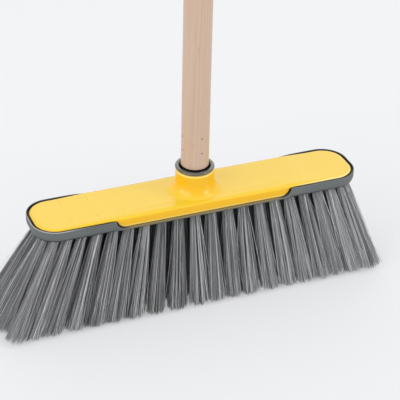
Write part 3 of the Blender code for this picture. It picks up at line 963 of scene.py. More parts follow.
# %% Head outline
def half_stations():
    """Places along one half of the straight front, from the middle to the corner."""
    near_groove = np.linspace(-GROOVE_HALF, GROOVE_HALF, GROOVE_STATIONS)
    parts = (
        np.linspace(0.0, HOLE_HALF, HOLE_STATIONS),
        np.arange(HOLE_HALF, CORNER_X, STATION_PITCH),
        SKIRT_HALF + STEP_RADIUS * np.sin(np.linspace(0.0, pi / 2, STEP_STATIONS)),
        np.arange(SKIRT_HALF, SKIRT_HALF + BLEND_LENGTH, BLEND_PITCH),
        (GROOVE_PLACES[:, None] + near_groove).ravel(),
        (CORNER_X,),
    )
    return np.unique(np.round(np.concatenate(parts), 5))


def outline_rows(x, y, out_x, out_y):
    """Rows of a place and its outward direction, from arrays or single values."""
    return np.stack(np.broadcast_arrays(x, y, out_x, out_y), axis=1)


def head_outline():
    """Rows of x, y, outward x and outward y: front, right end, back and left end in turn."""
    half = half_stations()
    middle = outline_rows(np.concatenate((-half[:0:-1], half)), -HALF_DEPTH, 0.0, -1.0)
    corner = np.linspace(0.0, pi / 2, CORNER_STATIONS)[1:]
    out_x, out_y = np.sin(corner), -np.cos(corner)
    right = outline_rows(
        CORNER_X + CORNER_RADIUS * out_x, CORNER_RADIUS * out_y - CORNER_Y, out_x, out_y
    )
    front = np.concatenate((right[::-1] * (-1.0, 1.0, -1.0, 1.0), middle, right))
    across = np.linspace(-CORNER_Y, CORNER_Y, END_COLUMNS)[1:-1]
    end = outline_rows(HALF_LENGTH, across, 1.0, 0.0)
    back = front[::-1] * (1.0, -1.0, 1.0, -1.0)
    other_end = end[::-1] * (-1.0, 1.0, -1.0, 1.0)
    return np.concatenate((front, end, back, other_end)), len(front)


def pushed_out(offset, height):
    """The head's outline moved outwards by an offset, at a height, as a row of points."""
    x, y, out_x, out_y = OUTLINE.T
    row = np.broadcast_arrays(x + offset * out_x, y + offset * out_y, height)
    return np.stack(row, axis=-1)


OUTLINE, FRONT_COUNT = head_outline()
print("outline:", len(OUTLINE), "points,", FRONT_COUNT, "of them along the front")

# %% [markdown]
# ## Painted shade in the groove
#
# A narrow groove runs round the cover at both ends, and painted shade darkens it, so that the lip's
# inner side is nearly black. Deep shadow alone would not do it, because the boxes shine in from
# both sides. The mask is the distance from the cover's outline, a rectangle with round corners. On
# the left end the lip itself gets a painted highlight.

# %% Painted shade in the groove
# Painted shade near the cover's outline, and a painted highlight on the left end's lip.
GROOVE_SHADE_REACH = (0.0015, 0.0021)
GROOVE_SHADE_START = (0.074, 0.080)
LIP_REACH = (0.0020, 0.0023)
LIP_LEVEL = (bumper_high.z - 0.0006, bumper_high.z - 0.0001)
LIP_START = (-0.122, -0.108)
LIP_PAINTED_HIGHLIGHT = (0.400, 0.395, 0.370)


def groove_shade_and_lip_highlight(tree, colour):
    """Painted shade close to the outline and a painted highlight on the lip beyond it.

    The distance is the length of what lies beyond the middles of the corners, along and across,
    less the corners' radius.
    """
    place, along, height, away = place_of(tree)
    beyond = moved(tree, "ABSOLUTE", place)
    beyond = moved(tree, "SUBTRACT", beyond, (CORNER_X, CORNER_Y, 1.0))
    beyond = moved(tree, "MAXIMUM", beyond, (0.0, 0.0, 0.0))
    length = wired(tree, "ShaderNodeVectorMath", beyond, operation="LENGTH").outputs["Value"]
    reach = computed(tree, "SUBTRACT", length, CORNER_RADIUS)
    near, at_ends = ranged(tree, reach, *GROOVE_SHADE_REACH, 1.0, 0.0), ranged(tree, away, *GROOVE_SHADE_START)
    lip = ranged(tree, reach, *LIP_REACH)
    for part in (ranged(tree, height, *LIP_LEVEL), ranged(tree, along, *LIP_START, 1.0, 0.0)):
        lip = computed(tree, "MULTIPLY", lip, part)
    groove_shade = computed(tree, "MULTIPLY", near, at_ends)
    return layered(tree, colour, (lip, 1.0, LIP_PAINTED_HIGHLIGHT), (groove_shade, 1.0, PAINTED_SHADE))


repaint(RUBBER, groove_shade_and_lip_highlight)
print("grime within", GROOVE_SHADE_REACH[1], "of the cover")

# %% [markdown]
# ## The yellow cover
#
# The cover is one shell. A skirt hangs down along the middle and ends in a round step at each
# side, the upper edge rolls over into a flat top, a fine crease runs along the inner side of that
# roll at the front, and three shallow grooves cross each end. In the middle the top flares up into
# the neck. It could be cut and joined from simple solids, but then every form would end in a hard
# edge. So the height of the top is one formula in the place and the distance from the rim; the
# mesh is made of rings along the rim, two flat fields, and a ring of points round the neck.

# %% Cover values
RIM = bumper_high.z + 0.0003
COVER_TOP = RIM + 0.0015
COVER_UNDERSIDE = COVER_TOP - 0.0020
EDGE_RISE = 0.0024
EDGE_LEVEL = COVER_TOP - EDGE_RISE
EDGE_WALL = 0.0003
EDGE_INSET = 0.0032
EDGE_FULLNESS = 2.2
EDGE_LIFT = 0.0011
EDGE_LIFT_WIDTH = 0.032
SHOULDER_EXTRA = 0.0036
END_FALL = 0.0009
END_FALL_REACH = (0.086, 0.122)
SKIRT_BLEND_MIDDLE = SKIRT_HALF + STEP_RADIUS
NECK_RADIUS = 0.0167
NECK_EDGE_ROUND = 0.0016
NECK_TOP = cover_high.z
FLARE_RISE = 0.0125
FOOT_ALONG = NECK_RADIUS + 0.0095
FOOT_ACROSS = NECK_RADIUS + 0.0056
CREASE_WIDTH = 0.0026
CREASE_DEPTH = 0.00026
CREASE_START = (0.010, 0.022)
LOWER_ROUND = 0.0004
INNER_SINK = 0.0025
FIELD_SINK = 0.00745
print("rim at", round(RIM, 5), "cover top at", round(COVER_TOP, 5))


# %% Cover heights
def middle_weight(x):
    """One along the skirt and zero at the ends of the head."""
    low, high = SKIRT_BLEND_MIDDLE - BLEND_LENGTH / 2, SKIRT_BLEND_MIDDLE + BLEND_LENGTH / 2
    return 1.0 - smooth_step(np.abs(x), low, high)


def skirt_drop(x, radius):
    """How far the skirt hangs below the rim: level in the middle, then a quarter circle up."""
    beyond = np.clip(np.abs(x) - SKIRT_HALF, 0.0, radius)
    return np.sqrt(radius * radius - beyond * beyond)


def end_fall(x):
    """How much lower the cover lies towards both ends, where it nests inside the bumper's lip."""
    return END_FALL * smooth_step(np.abs(x), *END_FALL_REACH)


def foot_radius(direction):
    """How far the foot of the neck's flare lies from the axis: an oval."""
    along, across = np.cos(direction) / FOOT_ALONG, np.sin(direction) / FOOT_ACROSS
    return 1.0 / np.sqrt(along**2 + across**2)


def flare_share(x, y):
    """One at the foot of the flare and beyond, and zero at the neck's own radius."""
    foot = foot_radius(np.arctan2(y, x))
    return np.clip((np.hypot(x, y) - NECK_RADIUS) / (foot - NECK_RADIUS), 0.0, 1.0)


def flare_height(x, y):
    """How high the flare stands over the flat top: a quarter oval, level at its foot."""
    return FLARE_RISE * (1.0 - np.sqrt(1.0 - (1.0 - flare_share(x, y)) ** 2))


def top_height(x, inward, front):
    """Height over a place at a distance inward from the cover's outer wall.

    The edge rolls over as a full quarter oval, lower beside the neck. Along the front a crease
    lies behind it, a narrow dip that runs out beside the neck. A groove is a shallow trough
    along y that runs out towards the middle of the head.
    """
    weight = middle_weight(x)
    inset = EDGE_INSET + SHOULDER_EXTRA * weight
    share = np.clip(inward / inset, 0.0, 1.0)
    rise = EDGE_RISE - EDGE_LIFT * np.exp(-((x / EDGE_LIFT_WIDTH) ** 2))
    roll = (1.0 - (1.0 - share) ** EDGE_FULLNESS) ** (1.0 / EDGE_FULLNESS)
    crease = np.sin(pi * np.clip((inward - inset) / CREASE_WIDTH, 0.0, 1.0)) ** 2
    beside = smooth_step(np.abs(x), *CREASE_START) * front
    height = COVER_TOP - rise + rise * roll - CREASE_DEPTH * beside * weight * crease
    away = np.min(np.abs(np.abs(x)[..., None] - GROOVE_PLACES), axis=-1)
    fade = 1.0 - smooth_step(inward, *GROOVE_FADE)
    trough = COVER_TOP - GROOVE_DEPTH * fade + away * away / (2 * GROOVE_RADIUS)
    return np.minimum(height, trough) - end_fall(x)


print("top beside the neck, 10 mm from the front:", top_height(np.zeros(1), 0.01, True).round(5))

# %% [markdown]
# ## Rings and fields of the cover
#
# The rings start inside the wall, go round its lower edge, up the wall and over the rolled edge.
# They end where the flat field begins. Rings alone would crowd together in the middle of a long
# head, and a field alone couldn't follow its round corners. A field fills the inside of a ring
# with straight columns from the front to the back, and takes its first and last point from the
# ring itself.

# %% Cover rings and fields
LOWER_ROWS = 6
ROLL_ROWS = 15
ROLL_CROWDING = 1.7
CREASE_ROWS = 9


def cover_rings():
    """Rings from the inner foot of the wall, round the lower edge, up and over to the field."""
    x, front = OUTLINE[:, 0], OUTLINE[:, 1] < 0.0
    weight, fall = middle_weight(x), end_fall(x)
    proud, inset = SKIRT_PROUD * weight, EDGE_INSET + SHOULDER_EXTRA * weight
    lower = np.minimum(RIM - skirt_drop(x, STEP_RADIUS), EDGE_LEVEL - EDGE_WALL) - fall
    rounding = np.minimum(LOWER_ROUND, (EDGE_LEVEL - fall - lower) / 2)
    rows = [pushed_out(-INNER_SINK, COVER_UNDERSIDE), pushed_out(-INNER_SINK, lower)]
    for turn in np.linspace(-pi / 2, 0.0, LOWER_ROWS):
        back, up = rounding * (1 - cos(turn)), rounding * (1 + sin(turn))
        rows.append(pushed_out(proud - back, lower + up))
    roll = [share * inset for share in np.linspace(0.0, 1.0, ROLL_ROWS) ** ROLL_CROWDING]
    shares = np.linspace(0.0, 1.0, CREASE_ROWS)[1:]
    crease = [inset + share * (FIELD_SINK + proud - inset) for share in shares]
    for inward in roll + crease:
        row = pushed_out(proud - inward, top_height(x, inward, front))
        row[:, 2] += flare_height(row[:, 0], row[:, 1])
        rows.append(row)
    return np.stack(rows)


def field_over(ring, height_of):
    """Columns across the head from the front of a ring to its back, as high as a function says."""
    front = ring[:FRONT_COUNT]
    share = np.linspace(-1.0, 1.0, END_COLUMNS)[:, None]
    x = np.broadcast_to(front[:, 0], (END_COLUMNS, FRONT_COUNT))
    y = -front[:, 1] * share
    grid = np.stack((x, y, height_of(x, y)), axis=-1)
    back = FRONT_COUNT + END_COLUMNS - 2
    grid[0], grid[-1] = front, ring[back : back + FRONT_COUNT][::-1]
    return grid


def flat_top(x, y):
    """The height of the flat field, where the grooves dip into it and the flare stands on it."""
    inward = np.maximum(HALF_DEPTH - np.abs(y), FIELD_SINK) + SKIRT_PROUD * middle_weight(x)
    return top_height(x, inward, y < 0.0) + flare_height(x, y)


def level_field(ring):
    """A field as flat as the ring round it."""
    return field_over(ring, lambda x, y: np.full_like(x, ring[0, 2]))


rings = cover_rings()
field, under_field = field_over(rings[-1], flat_top), level_field(rings[0])
print("rings:", rings.shape, "field:", field.shape)

# %% [markdown]
# ## The neck
#
# The flare is an oval at its foot, further along the head than across it, and round at its top.
# Its side is a quarter of an oval too, which runs out flat at the foot. Above it the neck goes
# straight up to a round lip. The columns of the neck start at the points round the rectangle that
# is left free between the two fields, and each keeps its own direction from the axis, so that no
# two of them cross.

# %% Cover piece
NECK_BORE = 0.0142
NECK_ROWS = 30
NECK_EDGE_ROWS = 6
PATCH_ROWS = 10


def free_rectangle(grid):
    """The points round the rectangle between the fields, in order: front, right, back and left."""
    inside = np.flatnonzero(np.abs(grid[0, :, 0]) <= HOLE_HALF + SEW_DISTANCE)
    first, last = inside[0], inside[-1]
    front, back = grid[0, first : last + 1], grid[-1, first : last + 1][::-1]
    right, left = grid[1:-1, last], grid[1:-1, first][::-1]
    return first, last, np.concatenate((front, right, back, left))


def round_row(direction, radius, height):
    """Points in the given directions from the axis, at a distance and a height."""
    row = np.broadcast_arrays(radius * np.cos(direction), radius * np.sin(direction), height)
    return np.stack(row, axis=-1)


def neck_rows(rectangle):
    """Rows up the flare to the top of the neck, round its lip and down its bore.

    A column starts at the flare's foot, or at the free rectangle where that lies inside the foot.
    """
    x, y, level = rectangle.T
    direction, start = np.arctan2(y, x), flare_share(x, y)
    reach = foot_radius(direction) - NECK_RADIUS
    first_turn = np.arcsin(1.0 - start)
    uneven = np.where(start < 1.0, level - COVER_TOP - flare_height(x, y), 0.0)
    rows = []
    for share in np.linspace(0.0, 1.0, NECK_ROWS):
        turn = first_turn + (pi / 2 - first_turn) * share
        height = COVER_TOP + FLARE_RISE * (1.0 - np.cos(turn)) + uneven * (1.0 - share) ** 2
        rows.append(round_row(direction, NECK_RADIUS + reach * (1.0 - np.sin(turn)), height))
    lip = arc_rows(
        NECK_RADIUS - NECK_EDGE_ROUND, NECK_TOP - NECK_EDGE_ROUND, NECK_EDGE_ROUND,
        0.0, pi / 2, NECK_EDGE_ROWS,
    )
    bore = ((NECK_BORE, NECK_TOP), (NECK_BORE, COVER_UNDERSIDE))
    rows += [round_row(direction, radius, height) for radius, height in (*lip.T, *bore)]
    return np.stack(rows)


def moulded_cover():
    """Rings, fields, free rectangle and neck sewn into one closed shell, with its underside."""
    first, last, rectangle = free_rectangle(field)
    below = free_rectangle(under_field)[2]
    neck = neck_rows(rectangle)
    share = np.linspace(0.0, 1.0, PATCH_ROWS)[:, None, None]
    patch = rectangle + (neck[0] - rectangle) * share
    neck_grid = np.concatenate((patch, neck[1:], below[None]))
    patches = [(rings, True), (neck_grid, True)]
    for grid in (field, under_field):
        patches += [(grid[:, : first + 1], False), (grid[:, last:], False)]
    return sewn_piece("moulded_cover", patches, YELLOW)


cover = moulded_cover()
ride_for(cover, "head", "cover_plastic", "top_cover")

# %% [markdown]
# ## The bumper
#
# A soft ring runs round the head, so that the broom doesn't mark skirting boards. It is tall at
# both ends and a thin strip under the skirt. Its side bulges and tucks in at the bottom, and its
# top ends in a narrow lip, a little higher round the ends and a little lower along the back.
# Between the lip and the cover lies a groove that runs a little way under the cover's rim, and so
# it reads as a dark line. A curve with a bevel could carry a profile round the head, but only one
# that stays the same. Here each point of the outline carries its own: the same form, only lower
# under the skirt.

# %% Bumper values
BUMPER_BULGE = bumper_high.y - HALF_DEPTH
BUMPER_SINK = 0.0022
BUMPER_CRISP = radians(60.0)
SEAT_GAP = 0.0003
WAIST_SHARE = 0.58
TOP_TUCK = 0.02
LIP_ROUND = 0.0005
LIP_RAISE = 0.0003
LIP_RAISE_REACH = (0.092, 0.118)
LIP_INNER = 0.0019
LIP_GROOVE_DEPTH = 0.0022
LIP_SLOPE = ((0.0, 0.0), (0.15, 0.25), (0.20, 1.0))
UNDERCUT = 0.0012
STEP_GAP = 0.0011
STEP_BLEND = 0.002
BACK_DIP = 0.0011
DIP_REACH = (0.084, 0.104)
THIN_SHARE = 0.04
THIN_ROUND = 0.3
LAND_GAP = 0.0006
SIDE_ROWS = 18
SIDE_CROWDING = 1.3
LIP_ROWS = 6
print("bumper bulges by", round(BUMPER_BULGE, 5))


# %% Bumper
def bumper_side(share):
    """Bulge over the height: a quarter oval up to the waist, then a slight tuck."""
    below = np.clip((WAIST_SHARE - share) / WAIST_SHARE, 0.0, 1.0)
    above = np.clip((share - WAIST_SHARE) / (1.0 - WAIST_SHARE), 0.0, 1.0)
    return np.sqrt(1.0 - below * below) - TOP_TUCK * above * above


def bumper_rings():
    """The profile at every point of the outline: foot, bulging side, lip, undercut groove, land."""
    x, at_back = OUTLINE[:, 0], OUTLINE[:, 1] > 0.0
    away, weight = np.abs(x), middle_weight(x)
    beyond_step = smooth_step(away, SKIRT_HALF - STEP_BLEND, SKIRT_HALF + STEP_BLEND)
    drop = np.maximum(skirt_drop(x, STEP_RADIUS + SEAT_GAP + STEP_GAP * beyond_step), SEAT_GAP)
    dip = (1.0 - smooth_step(away, *DIP_REACH)) * (1.0 - weight) * at_back
    raised = LIP_RAISE * smooth_step(away, *LIP_RAISE_REACH) - BACK_DIP * dip
    low, tall = bumper_low.z, bumper_high.z - bumper_low.z + SEAT_GAP - drop + raised
    high = low + tall
    narrow = 1.0 - (1.0 - THIN_SHARE) * weight
    round_off = LIP_ROUND * np.maximum(narrow, THIN_ROUND)
    side_top = 1.0 - round_off / tall
    rows = [(-BUMPER_SINK, low)]
    for share in np.linspace(0.0, 1.0, SIDE_ROWS) ** SIDE_CROWDING:
        rows.append((BUMPER_BULGE * bumper_side(side_top * share), low + side_top * share * tall))
    for turn in np.linspace(0.0, pi / 2, LIP_ROWS)[1:]:
        reach = BUMPER_BULGE * bumper_side(side_top) - round_off * (1 - cos(turn))
        rows.append((reach, high - round_off * (1 - sin(turn))))
    wall, depth = SKIRT_PROUD * weight, LIP_GROOVE_DEPTH * narrow
    for inwards, down in LIP_SLOPE:
        rows.append((wall + (1.0 - inwards) * LIP_INNER * narrow, high - down * depth))
    inner = wall - SEAT_GAP - UNDERCUT * beyond_step
    land = np.minimum(high - raised, EDGE_LEVEL - EDGE_WALL - end_fall(x) - LAND_GAP)
    rows += [(inner, high - depth), (inner, land), (-BUMPER_SINK, land), rows[0]]
    return np.stack([pushed_out(offset, height) for offset, height in rows])


bumper = sewn_piece("soft_bumper", [(bumper_rings(), True)], RUBBER, BUMPER_CRISP)
ride_for(bumper, "head", "bumper_rubber", "bumper")
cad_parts["bristle_block"].data.materials.clear()
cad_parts["bristle_block"].data.materials.append(DARK)

# %% [markdown]
# ## Where the tufts stand
#
# The tufts stand in five rows, each row half a tuft out of step with its neighbours. Towards the
# ends they stand a little closer. They lean: outwards along the head, more so at the left end,
# which has seen more use, and outwards across it in the outer rows. An Array modifier could repeat
# one tuft, but all would stand at even steps and be alike.

# %% Tuft places
ROW_PITCH = 0.0087
TUFT_PITCH = 0.0149
END_CROWDING = 0.0000128
MIDDLE_TUFT = 0.0009
TUFTS_IN_OUTER_ROW = 20
ROOT_ALONG = 0.0043
ROOT_ACROSS = 0.0034
ROOT_LEVEL = bumper_low.z
LEFT_SPLAY = radians(29.0)
RIGHT_SPLAY = radians(19.0)
OUTER_ROW_SPLAY = radians(9.4)
SPLAY_POWER = 1.15
ROWS = {
    "bristles_front_outer": -2,
    "bristles_front": -1,
    "bristles_middle": 0,
    "bristles_back": 1,
    "bristles_back_outer": 2,
}


def tuft_places(row):
    """The x and y of a row's tufts: steps of one pitch, less a cube that crowds the ends."""
    count = TUFTS_IN_OUTER_ROW + abs(row) % 2
    step = np.arange(count) - (count - 1) / 2
    x = MIDDLE_TUFT + TUFT_PITCH * step - END_CROWDING * step**3
    return x, np.full_like(x, row * ROW_PITCH)


def tuft_lean(x, y):
    """How far the tips of a tuft lie from its root, along the head and across it."""
    angle = np.where(x < 0.0, LEFT_SPLAY, RIGHT_SPLAY)
    along = np.sign(x) * ROOT_LEVEL * np.tan(angle) * (np.abs(x) / HALF_LENGTH) ** SPLAY_POWER
    return along, ROOT_LEVEL * np.tan(OUTER_ROW_SPLAY) * y / (2 * ROW_PITCH)


print("tufts:", sum(len(tuft_places(row)[0]) for row in ROWS.values()))

# %% [markdown]
# ## The plate that holds the tufts
#
# Looked at from below, the tufts come out of a flat plate, each from an oval hole with a raised
# rim. The holes could be cut, but a tuft fills its hole and hides it. So the plate is a field
# between two rings, as the cover's flat top is, and the rims are one small ring of points,
# repeated at every tuft.

# %% Tuft plate
PLATE_SINK = 0.0043
PLATE_THICKNESS = 0.0022
COLLAR_WALL = 0.0007
COLLAR_HEIGHT = 0.0006
COLLAR_COLUMNS = 14
COLLAR_SIDES = 6


def tuft_plate():
    """A lower and an upper field joined by the wall between them."""
    wall = [pushed_out(-PLATE_SINK, ROOT_LEVEL + rise) for rise in (0.0, PLATE_THICKNESS)]
    patches = [(np.stack(wall), True)] + [(level_field(ring), False) for ring in wall]
    return sewn_piece("tuft_plate", patches, DARK)


def tuft_collars():
    """Every collar: an oval ring whose section is a small half round below the plate."""
    places = np.concatenate([np.stack(tuft_places(row), axis=-1) for row in ROWS.values()])
    section = np.arange(COLLAR_SIDES + 1)[:, None] % COLLAR_SIDES * tau / COLLAR_SIDES
    turn = np.arange(COLLAR_COLUMNS) * tau / COLLAR_COLUMNS
    widen = COLLAR_WALL * (1.0 + np.cos(section))
    x, y = (ROOT_ALONG + widen) * np.cos(turn), (ROOT_ACROSS + widen) * np.sin(turn)
    z = np.broadcast_to(ROOT_LEVEL + COLLAR_HEIGHT * np.sin(section), x.shape)
    collar = np.stack((x, y, z), axis=-1)
    return sewn_piece("tuft_collars", [(collar + (*place, 0.0), True) for place in places], DARK)


for piece in (tuft_plate(), tuft_collars()):
    ride_for(piece, "head", "block_plastic")

# %% [markdown]
# ## The bristles
#
# A tuft is more than two hundred filaments. They start together in the hole, fan out on the way
# down and gather in loose clumps, and that is what makes the streaks. Blender's own hair could
# grow them, but only a mesh is kept when the broom is exported. Filament by filament would be
# slow, so a whole row is worked out at once: an array with a tuft, a filament and a ring of points
# in each place. A filament is a thin three-sided spindle with a point at both ends. Fine short
# hairs near the tips stand for their split ends. Tone and place along ride on the points.

# %% Bristle values
FILAMENTS = 268
SPLIT_HAIRS = 165
CLUMPS = 90
CLUMP_REACH = 0.9
FILAMENT_RADIUS = 0.00023
HAIR_RADIUS = 0.00011
PATH_SHARES = np.array((0.0, 0.01, 0.34, 0.67, 0.97, 1.0))
HAIR_RINGS = 3
TIP_ALONG = 0.0092
TIP_ACROSS = 0.0056
CLUMP_PINCH = 0.22
CLUMP_DRIFT = 0.0005
LOOSE_TIP = 0.0005
TUFT_SWAY = 0.0010
SWAY_SHARES = (1.0, 0.3)
UNEVEN_CLUMP = 0.0012
UNEVEN_TIP = 0.0016
ROUND_OFF = 0.0018
ROOT_DEPTH = 0.0012
CLUMP_BOW = 0.0007
CLUMP_TONE = 0.06
FILAMENT_TONE = 0.30
# Painted shade at the sides of each tuft and in the middle tufts, painted light towards the right.
PAINTED_SIDE_SHADE = 0.24
PAINTED_MIDDLE_SHADE = (-0.030, 0.045, 0.15)
PAINTED_RIGHT_LIGHT = (0.030, 0.140, 0.14)
ROUND_CORNER = (0.165, 11.0)
TIP_LEVEL = 0.0002
WILD_SHARE = 0.05
WILD_TIP = (0.0080, 0.0012)
WILD_TONE = 0.25
END_FAN = 0.30
print("in a tuft:", FILAMENTS, "filaments in", CLUMPS, "clumps, and", SPLIT_HAIRS, "split hairs")


# %% Bristle paths
def in_circle(rng, shape, radius):
    """Random places spread evenly over a circle: the reach is the root of an even draw."""
    reach, turn = np.sqrt(rng.random(shape)), rng.random(shape) * tau
    return radius * np.stack((reach * np.cos(turn), reach * np.sin(turn)), axis=-1)


def kept_near(rng, spread, shape):
    """Bell-shaped random shifts that never pass twice their spread."""
    return np.clip(rng.normal(0.0, spread, shape), -2 * spread, 2 * spread)


def tuft_paths(rng, row):
    """Paths of all filaments of a row, with their tones.

    A filament keeps its place in the oval of its tuft from root to tip, while the oval grows and
    the tuft leans. It is drawn a little towards its clump, drifts and bows with it, and its tip
    lies the higher, the further out it stands. The tone carries painted shade at the sides of a
    tuft and in the tufts near the middle of the head, and painted light towards the right.
    """
    x, y = tuft_places(row)
    tufts = len(x)
    unit = in_circle(rng, (tufts, FILAMENTS), 1.0)
    centre = in_circle(rng, (tufts, CLUMPS), CLUMP_REACH)
    clump = np.linalg.norm(unit[:, :, None] - centre[:, None], axis=-1).argmin(axis=-1)
    own = (np.arange(tufts)[:, None], clump)
    spread = unit + CLUMP_PINCH * (centre[own] - unit)
    fan = 1.0 + END_FAN * (x / HALF_LENGTH)[:, None, None] ** 4
    tip = fan * spread * (TIP_ALONG, TIP_ACROSS)
    tip = tip + kept_near(rng, CLUMP_DRIFT, (tufts, CLUMPS, 2))[own]
    tip = tip + kept_near(rng, LOOSE_TIP, unit.shape)
    tip = tip + kept_near(rng, TUFT_SWAY, (tufts, 1, 2)) * SWAY_SHARES
    wild = rng.random(clump.shape) < WILD_SHARE
    tip = tip + wild[..., None] * rng.uniform(-1.0, 1.0, unit.shape) * WILD_TIP
    lean = np.stack(tuft_lean(x, y), axis=-1)[:, None]
    bow = kept_near(rng, CLUMP_BOW, (tufts, CLUMPS, 2))[own]
    short = rng.random((tufts, CLUMPS))[own] * UNEVEN_CLUMP + rng.random(clump.shape) * UNEVEN_TIP
    corner, rounding = ROUND_CORNER
    beyond = np.clip(np.abs(x[:, None] + lean[:, :, 0] + tip[..., 0]) - corner, 0.0, None)
    short = TIP_LEVEL + short + ROUND_OFF * (unit**2).sum(axis=-1) + rounding * beyond**2
    tone = 0.5 + kept_near(rng, CLUMP_TONE, (tufts, CLUMPS))[own]
    tone = tone + kept_near(rng, FILAMENT_TONE, clump.shape)
    # Painted shade at the tufts' sides and near the middle, painted light towards the right.
    tone = tone + WILD_TONE * wild - PAINTED_SIDE_SHADE * unit[..., 0] ** 4
    middle, width, depth = PAINTED_MIDDLE_SHADE
    low, high, gain = PAINTED_RIGHT_LIGHT
    place_tone = gain * smooth_step(x, low, high) - depth * np.exp(-(((x - middle) / width) ** 2))
    share = PATH_SHARES[:, None]
    root = unit * (ROOT_ALONG, ROOT_ACROSS)
    flat = root[:, :, None] + (tip + lean - root)[:, :, None] * share
    flat = flat + bow[:, :, None] * np.sin(pi * share) + np.stack((x, y), axis=-1)[:, None, None]
    top = ROOT_LEVEL + ROOT_DEPTH
    path = np.concatenate((flat, top + (short[:, :, None, None] - top) * share), axis=-1)
    return path.reshape(-1, len(share), 3), np.clip(tone + place_tone[:, None], 0.0, 1.0).ravel()


print("points along a filament:", len(PATH_SHARES))

# %% [markdown]
# ## Split ends
#
# The tips of real bristles are flagged: each is split into finer hairs, so that it picks up dust.
# Every hair here follows a filament for its lower part and strays from it towards the tip.

# %% Split ends
HAIR_START = (0.45, 0.85)
HAIR_STRAY = (0.0017, 0.0013, 0.0006)
HAIR_TONE = 0.12


def split_ends(rng, path, tone, tufts):
    """Short hairs that leave a filament in its lower part and end near its tip."""
    count = tufts * SPLIT_HAIRS
    mother = rng.integers(0, len(path), count)
    start = rng.uniform(*HAIR_START, count)[:, None]
    share = np.linspace(0.0, 1.0, HAIR_RINGS + 2)[None, :]
    along = start + (1.0 - start) * share
    where = (along[..., None] >= PATH_SHARES[1:-1]).sum(axis=-1).clip(0, len(PATH_SHARES) - 2)
    low, high = path[mother[:, None], where], path[mother[:, None], where + 1]
    part = (along - PATH_SHARES[where]) / (PATH_SHARES[where + 1] - PATH_SHARES[where])
    stray = rng.uniform(-1.0, 1.0, (count, 1, 3)) * HAIR_STRAY
    hair = low + (high - low) * part[..., None] + stray * share[..., None]
    hair[..., 2] = np.maximum(hair[..., 2], TIP_LEVEL)
    return hair, np.clip(tone[mother] + kept_near(rng, HAIR_TONE, count), 0.0, 1.0), along


print("points along a split hair:", HAIR_RINGS + 2)

# %% [markdown]
# ## From paths to meshes
#
# A spindle is the same for every filament: rings of three points and a point at each end. The
# corner numbers of one are worked out and then shifted for all others. The map has a narrow strip
# for each step of tone, and a filament's length runs along its strip. The inner rows get darker
# towards their roots, where little light comes in. A ready cylinder copied for each filament would
# look the same and take far longer to build.

# %% Spindles
def spindles(path, radius):
    """Points and faces of three-sided spindles along paths of points; both ends are pointed.

    The path has one point for each ring and one for each end. The side faces are two triangles
    a side between rings, and three triangles at each end.
    """
    rings = path.shape[1] - 2
    turn = np.arange(3) * tau / 3
    sides = np.stack((np.cos(turn), np.sin(turn), 0 * turn), axis=-1)
    walls = path[:, 1:-1, None, :] + radius[None, :, None, None] * sides
    points = np.concatenate((path[:, :1], walls.reshape(len(path), -1, 3), path[:, -1:]), axis=1)
    ring, side = np.meshgrid(np.arange(rings - 1), np.arange(3), indexing="ij")
    here, after = 1 + 3 * ring + side, 1 + 3 * ring + (side + 1) % 3
    faces = [np.stack((here, after, after + 3), -1), np.stack((here, after + 3, here + 3), -1)]
    side = np.arange(3)
    first, last, end = 1 + side, 1 + 3 * (rings - 1) + side, 1 + 3 * rings
    faces.append(np.stack((0 * side, 1 + (side + 1) % 3, first), -1))
    faces.append(np.stack((last, last - side + (side + 1) % 3, 0 * side + end), -1))
    faces = np.concatenate([group.reshape(-1, 3) for group in faces])[:, ::-1]
    faces = faces + np.arange(len(path))[:, None, None] * points.shape[1]
    return points, faces.reshape(-1, 3)


straight = np.zeros((1, len(PATH_SHARES), 3))
print("triangles in a filament:", len(spindles(straight, np.ones(len(PATH_SHARES) - 2))[1]))

# %% Values on the points
TONE_STEPS = 64
STRIP_SIDES = (-0.35, 0.0, 0.35)
SHADE_ENDS = (0.105, 0.135)


def spread_to_points(values):
    """Values of a path's points repeated for the three corners of each ring, ends single."""
    inner = np.repeat(values[:, 1:-1], 3, axis=1)
    return np.concatenate((values[:, :1], inner, values[:, -1:]), axis=1).ravel()


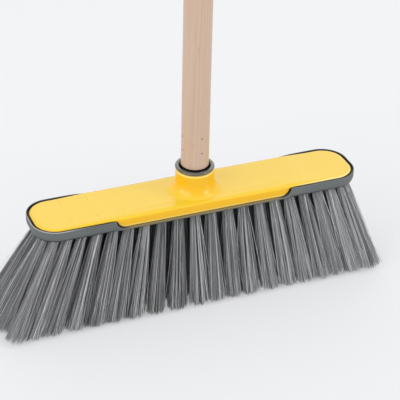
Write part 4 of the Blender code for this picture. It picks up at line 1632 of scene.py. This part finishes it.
def put_values(mesh, bodies, shade):
    """Store tone and along as point attributes, and a map with a strip for each step of tone.

    The tone falls by the shade towards the roots, where little light gets, but not in the tufts
    at both ends, which stand free.
    """
    parts = []
    for points, share, tint in bodies:
        count, corners = points.shape[:2]
        place = spread_to_points(share)
        inside = 1.0 - smooth_step(np.abs(points[:, 0, 0]), *SHADE_ENDS)
        level = np.repeat(tint, corners) - shade * np.repeat(inside, corners) * (1.0 - place**2)
        level = (np.floor(np.clip(level, 0.0, 1.0) * (TONE_STEPS - 1)) + 0.5) / TONE_STEPS
        side = np.concatenate(((0.0,), np.tile(STRIP_SIDES, corners // 3), (0.0,)))
        parts.append((place, level, level + np.tile(side, count) / TONE_STEPS))
    along, tones, strips = np.concatenate(parts, axis=1)
    for label, values in (("along", along), ("tone", tones)):
        attribute = mesh.attributes.new(label, "FLOAT", "POINT")
        attribute.data.foreach_set("value", values.astype(np.float32))
    corner = np.empty(len(mesh.loops), np.int32)
    mesh.loops.foreach_get("vertex_index", corner)
    flat = np.stack((strips[corner], along[corner]), axis=-1)
    mesh.uv_layers.new(name="OFBake").data.foreach_set("uv", flat.astype(np.float32).ravel())


print("steps of tone in the map:", TONE_STEPS)

# %% Bristle rows
TAPER = 0.8
HAIR_TAPER = 0.7
INNER_SHADE = 0.62
OUTER_SHADE = 0.02
FIRST_SEED = 20


def bristle_row(name, row):
    """One row of tufts as one mesh, with tone and along on its points and in its map."""
    rng = np.random.default_rng(FIRST_SEED + row)
    path, tone = tuft_paths(rng, row)
    hair, hair_tone, hair_share = split_ends(rng, path, tone, len(tuft_places(row)[0]))
    taper = np.linspace(1.0, TAPER, len(PATH_SHARES) - 2)
    points, faces = spindles(path, FILAMENT_RADIUS * taper)
    hair_points, hair_faces = spindles(hair, HAIR_RADIUS * np.linspace(1.0, HAIR_TAPER, HAIR_RINGS))
    every = np.concatenate((points.reshape(-1, 3), hair_points.reshape(-1, 3)))
    start = points.shape[0] * points.shape[1]
    mesh = fill_mesh(name, every, np.concatenate((faces, hair_faces + start)))
    share = np.broadcast_to(PATH_SHARES, path.shape[:2])
    shade = INNER_SHADE if abs(row) < 2 else OUTER_SHADE
    put_values(mesh, ((points, share, tone), (hair_points, hair_share, hair_tone)), shade)
    mesh.shade_smooth()
    mesh.materials.append(FILAMENT)
    print(name, len(mesh.polygons), "triangles, lowest", round(float(every[:, 2].min()), 5))
    return in_scene(name, mesh)


for node, row in ROWS.items():
    tufts = bristle_row(node.replace("bristles", "tufts"), row)
    ride_for(tufts, "head", "bristle", node)
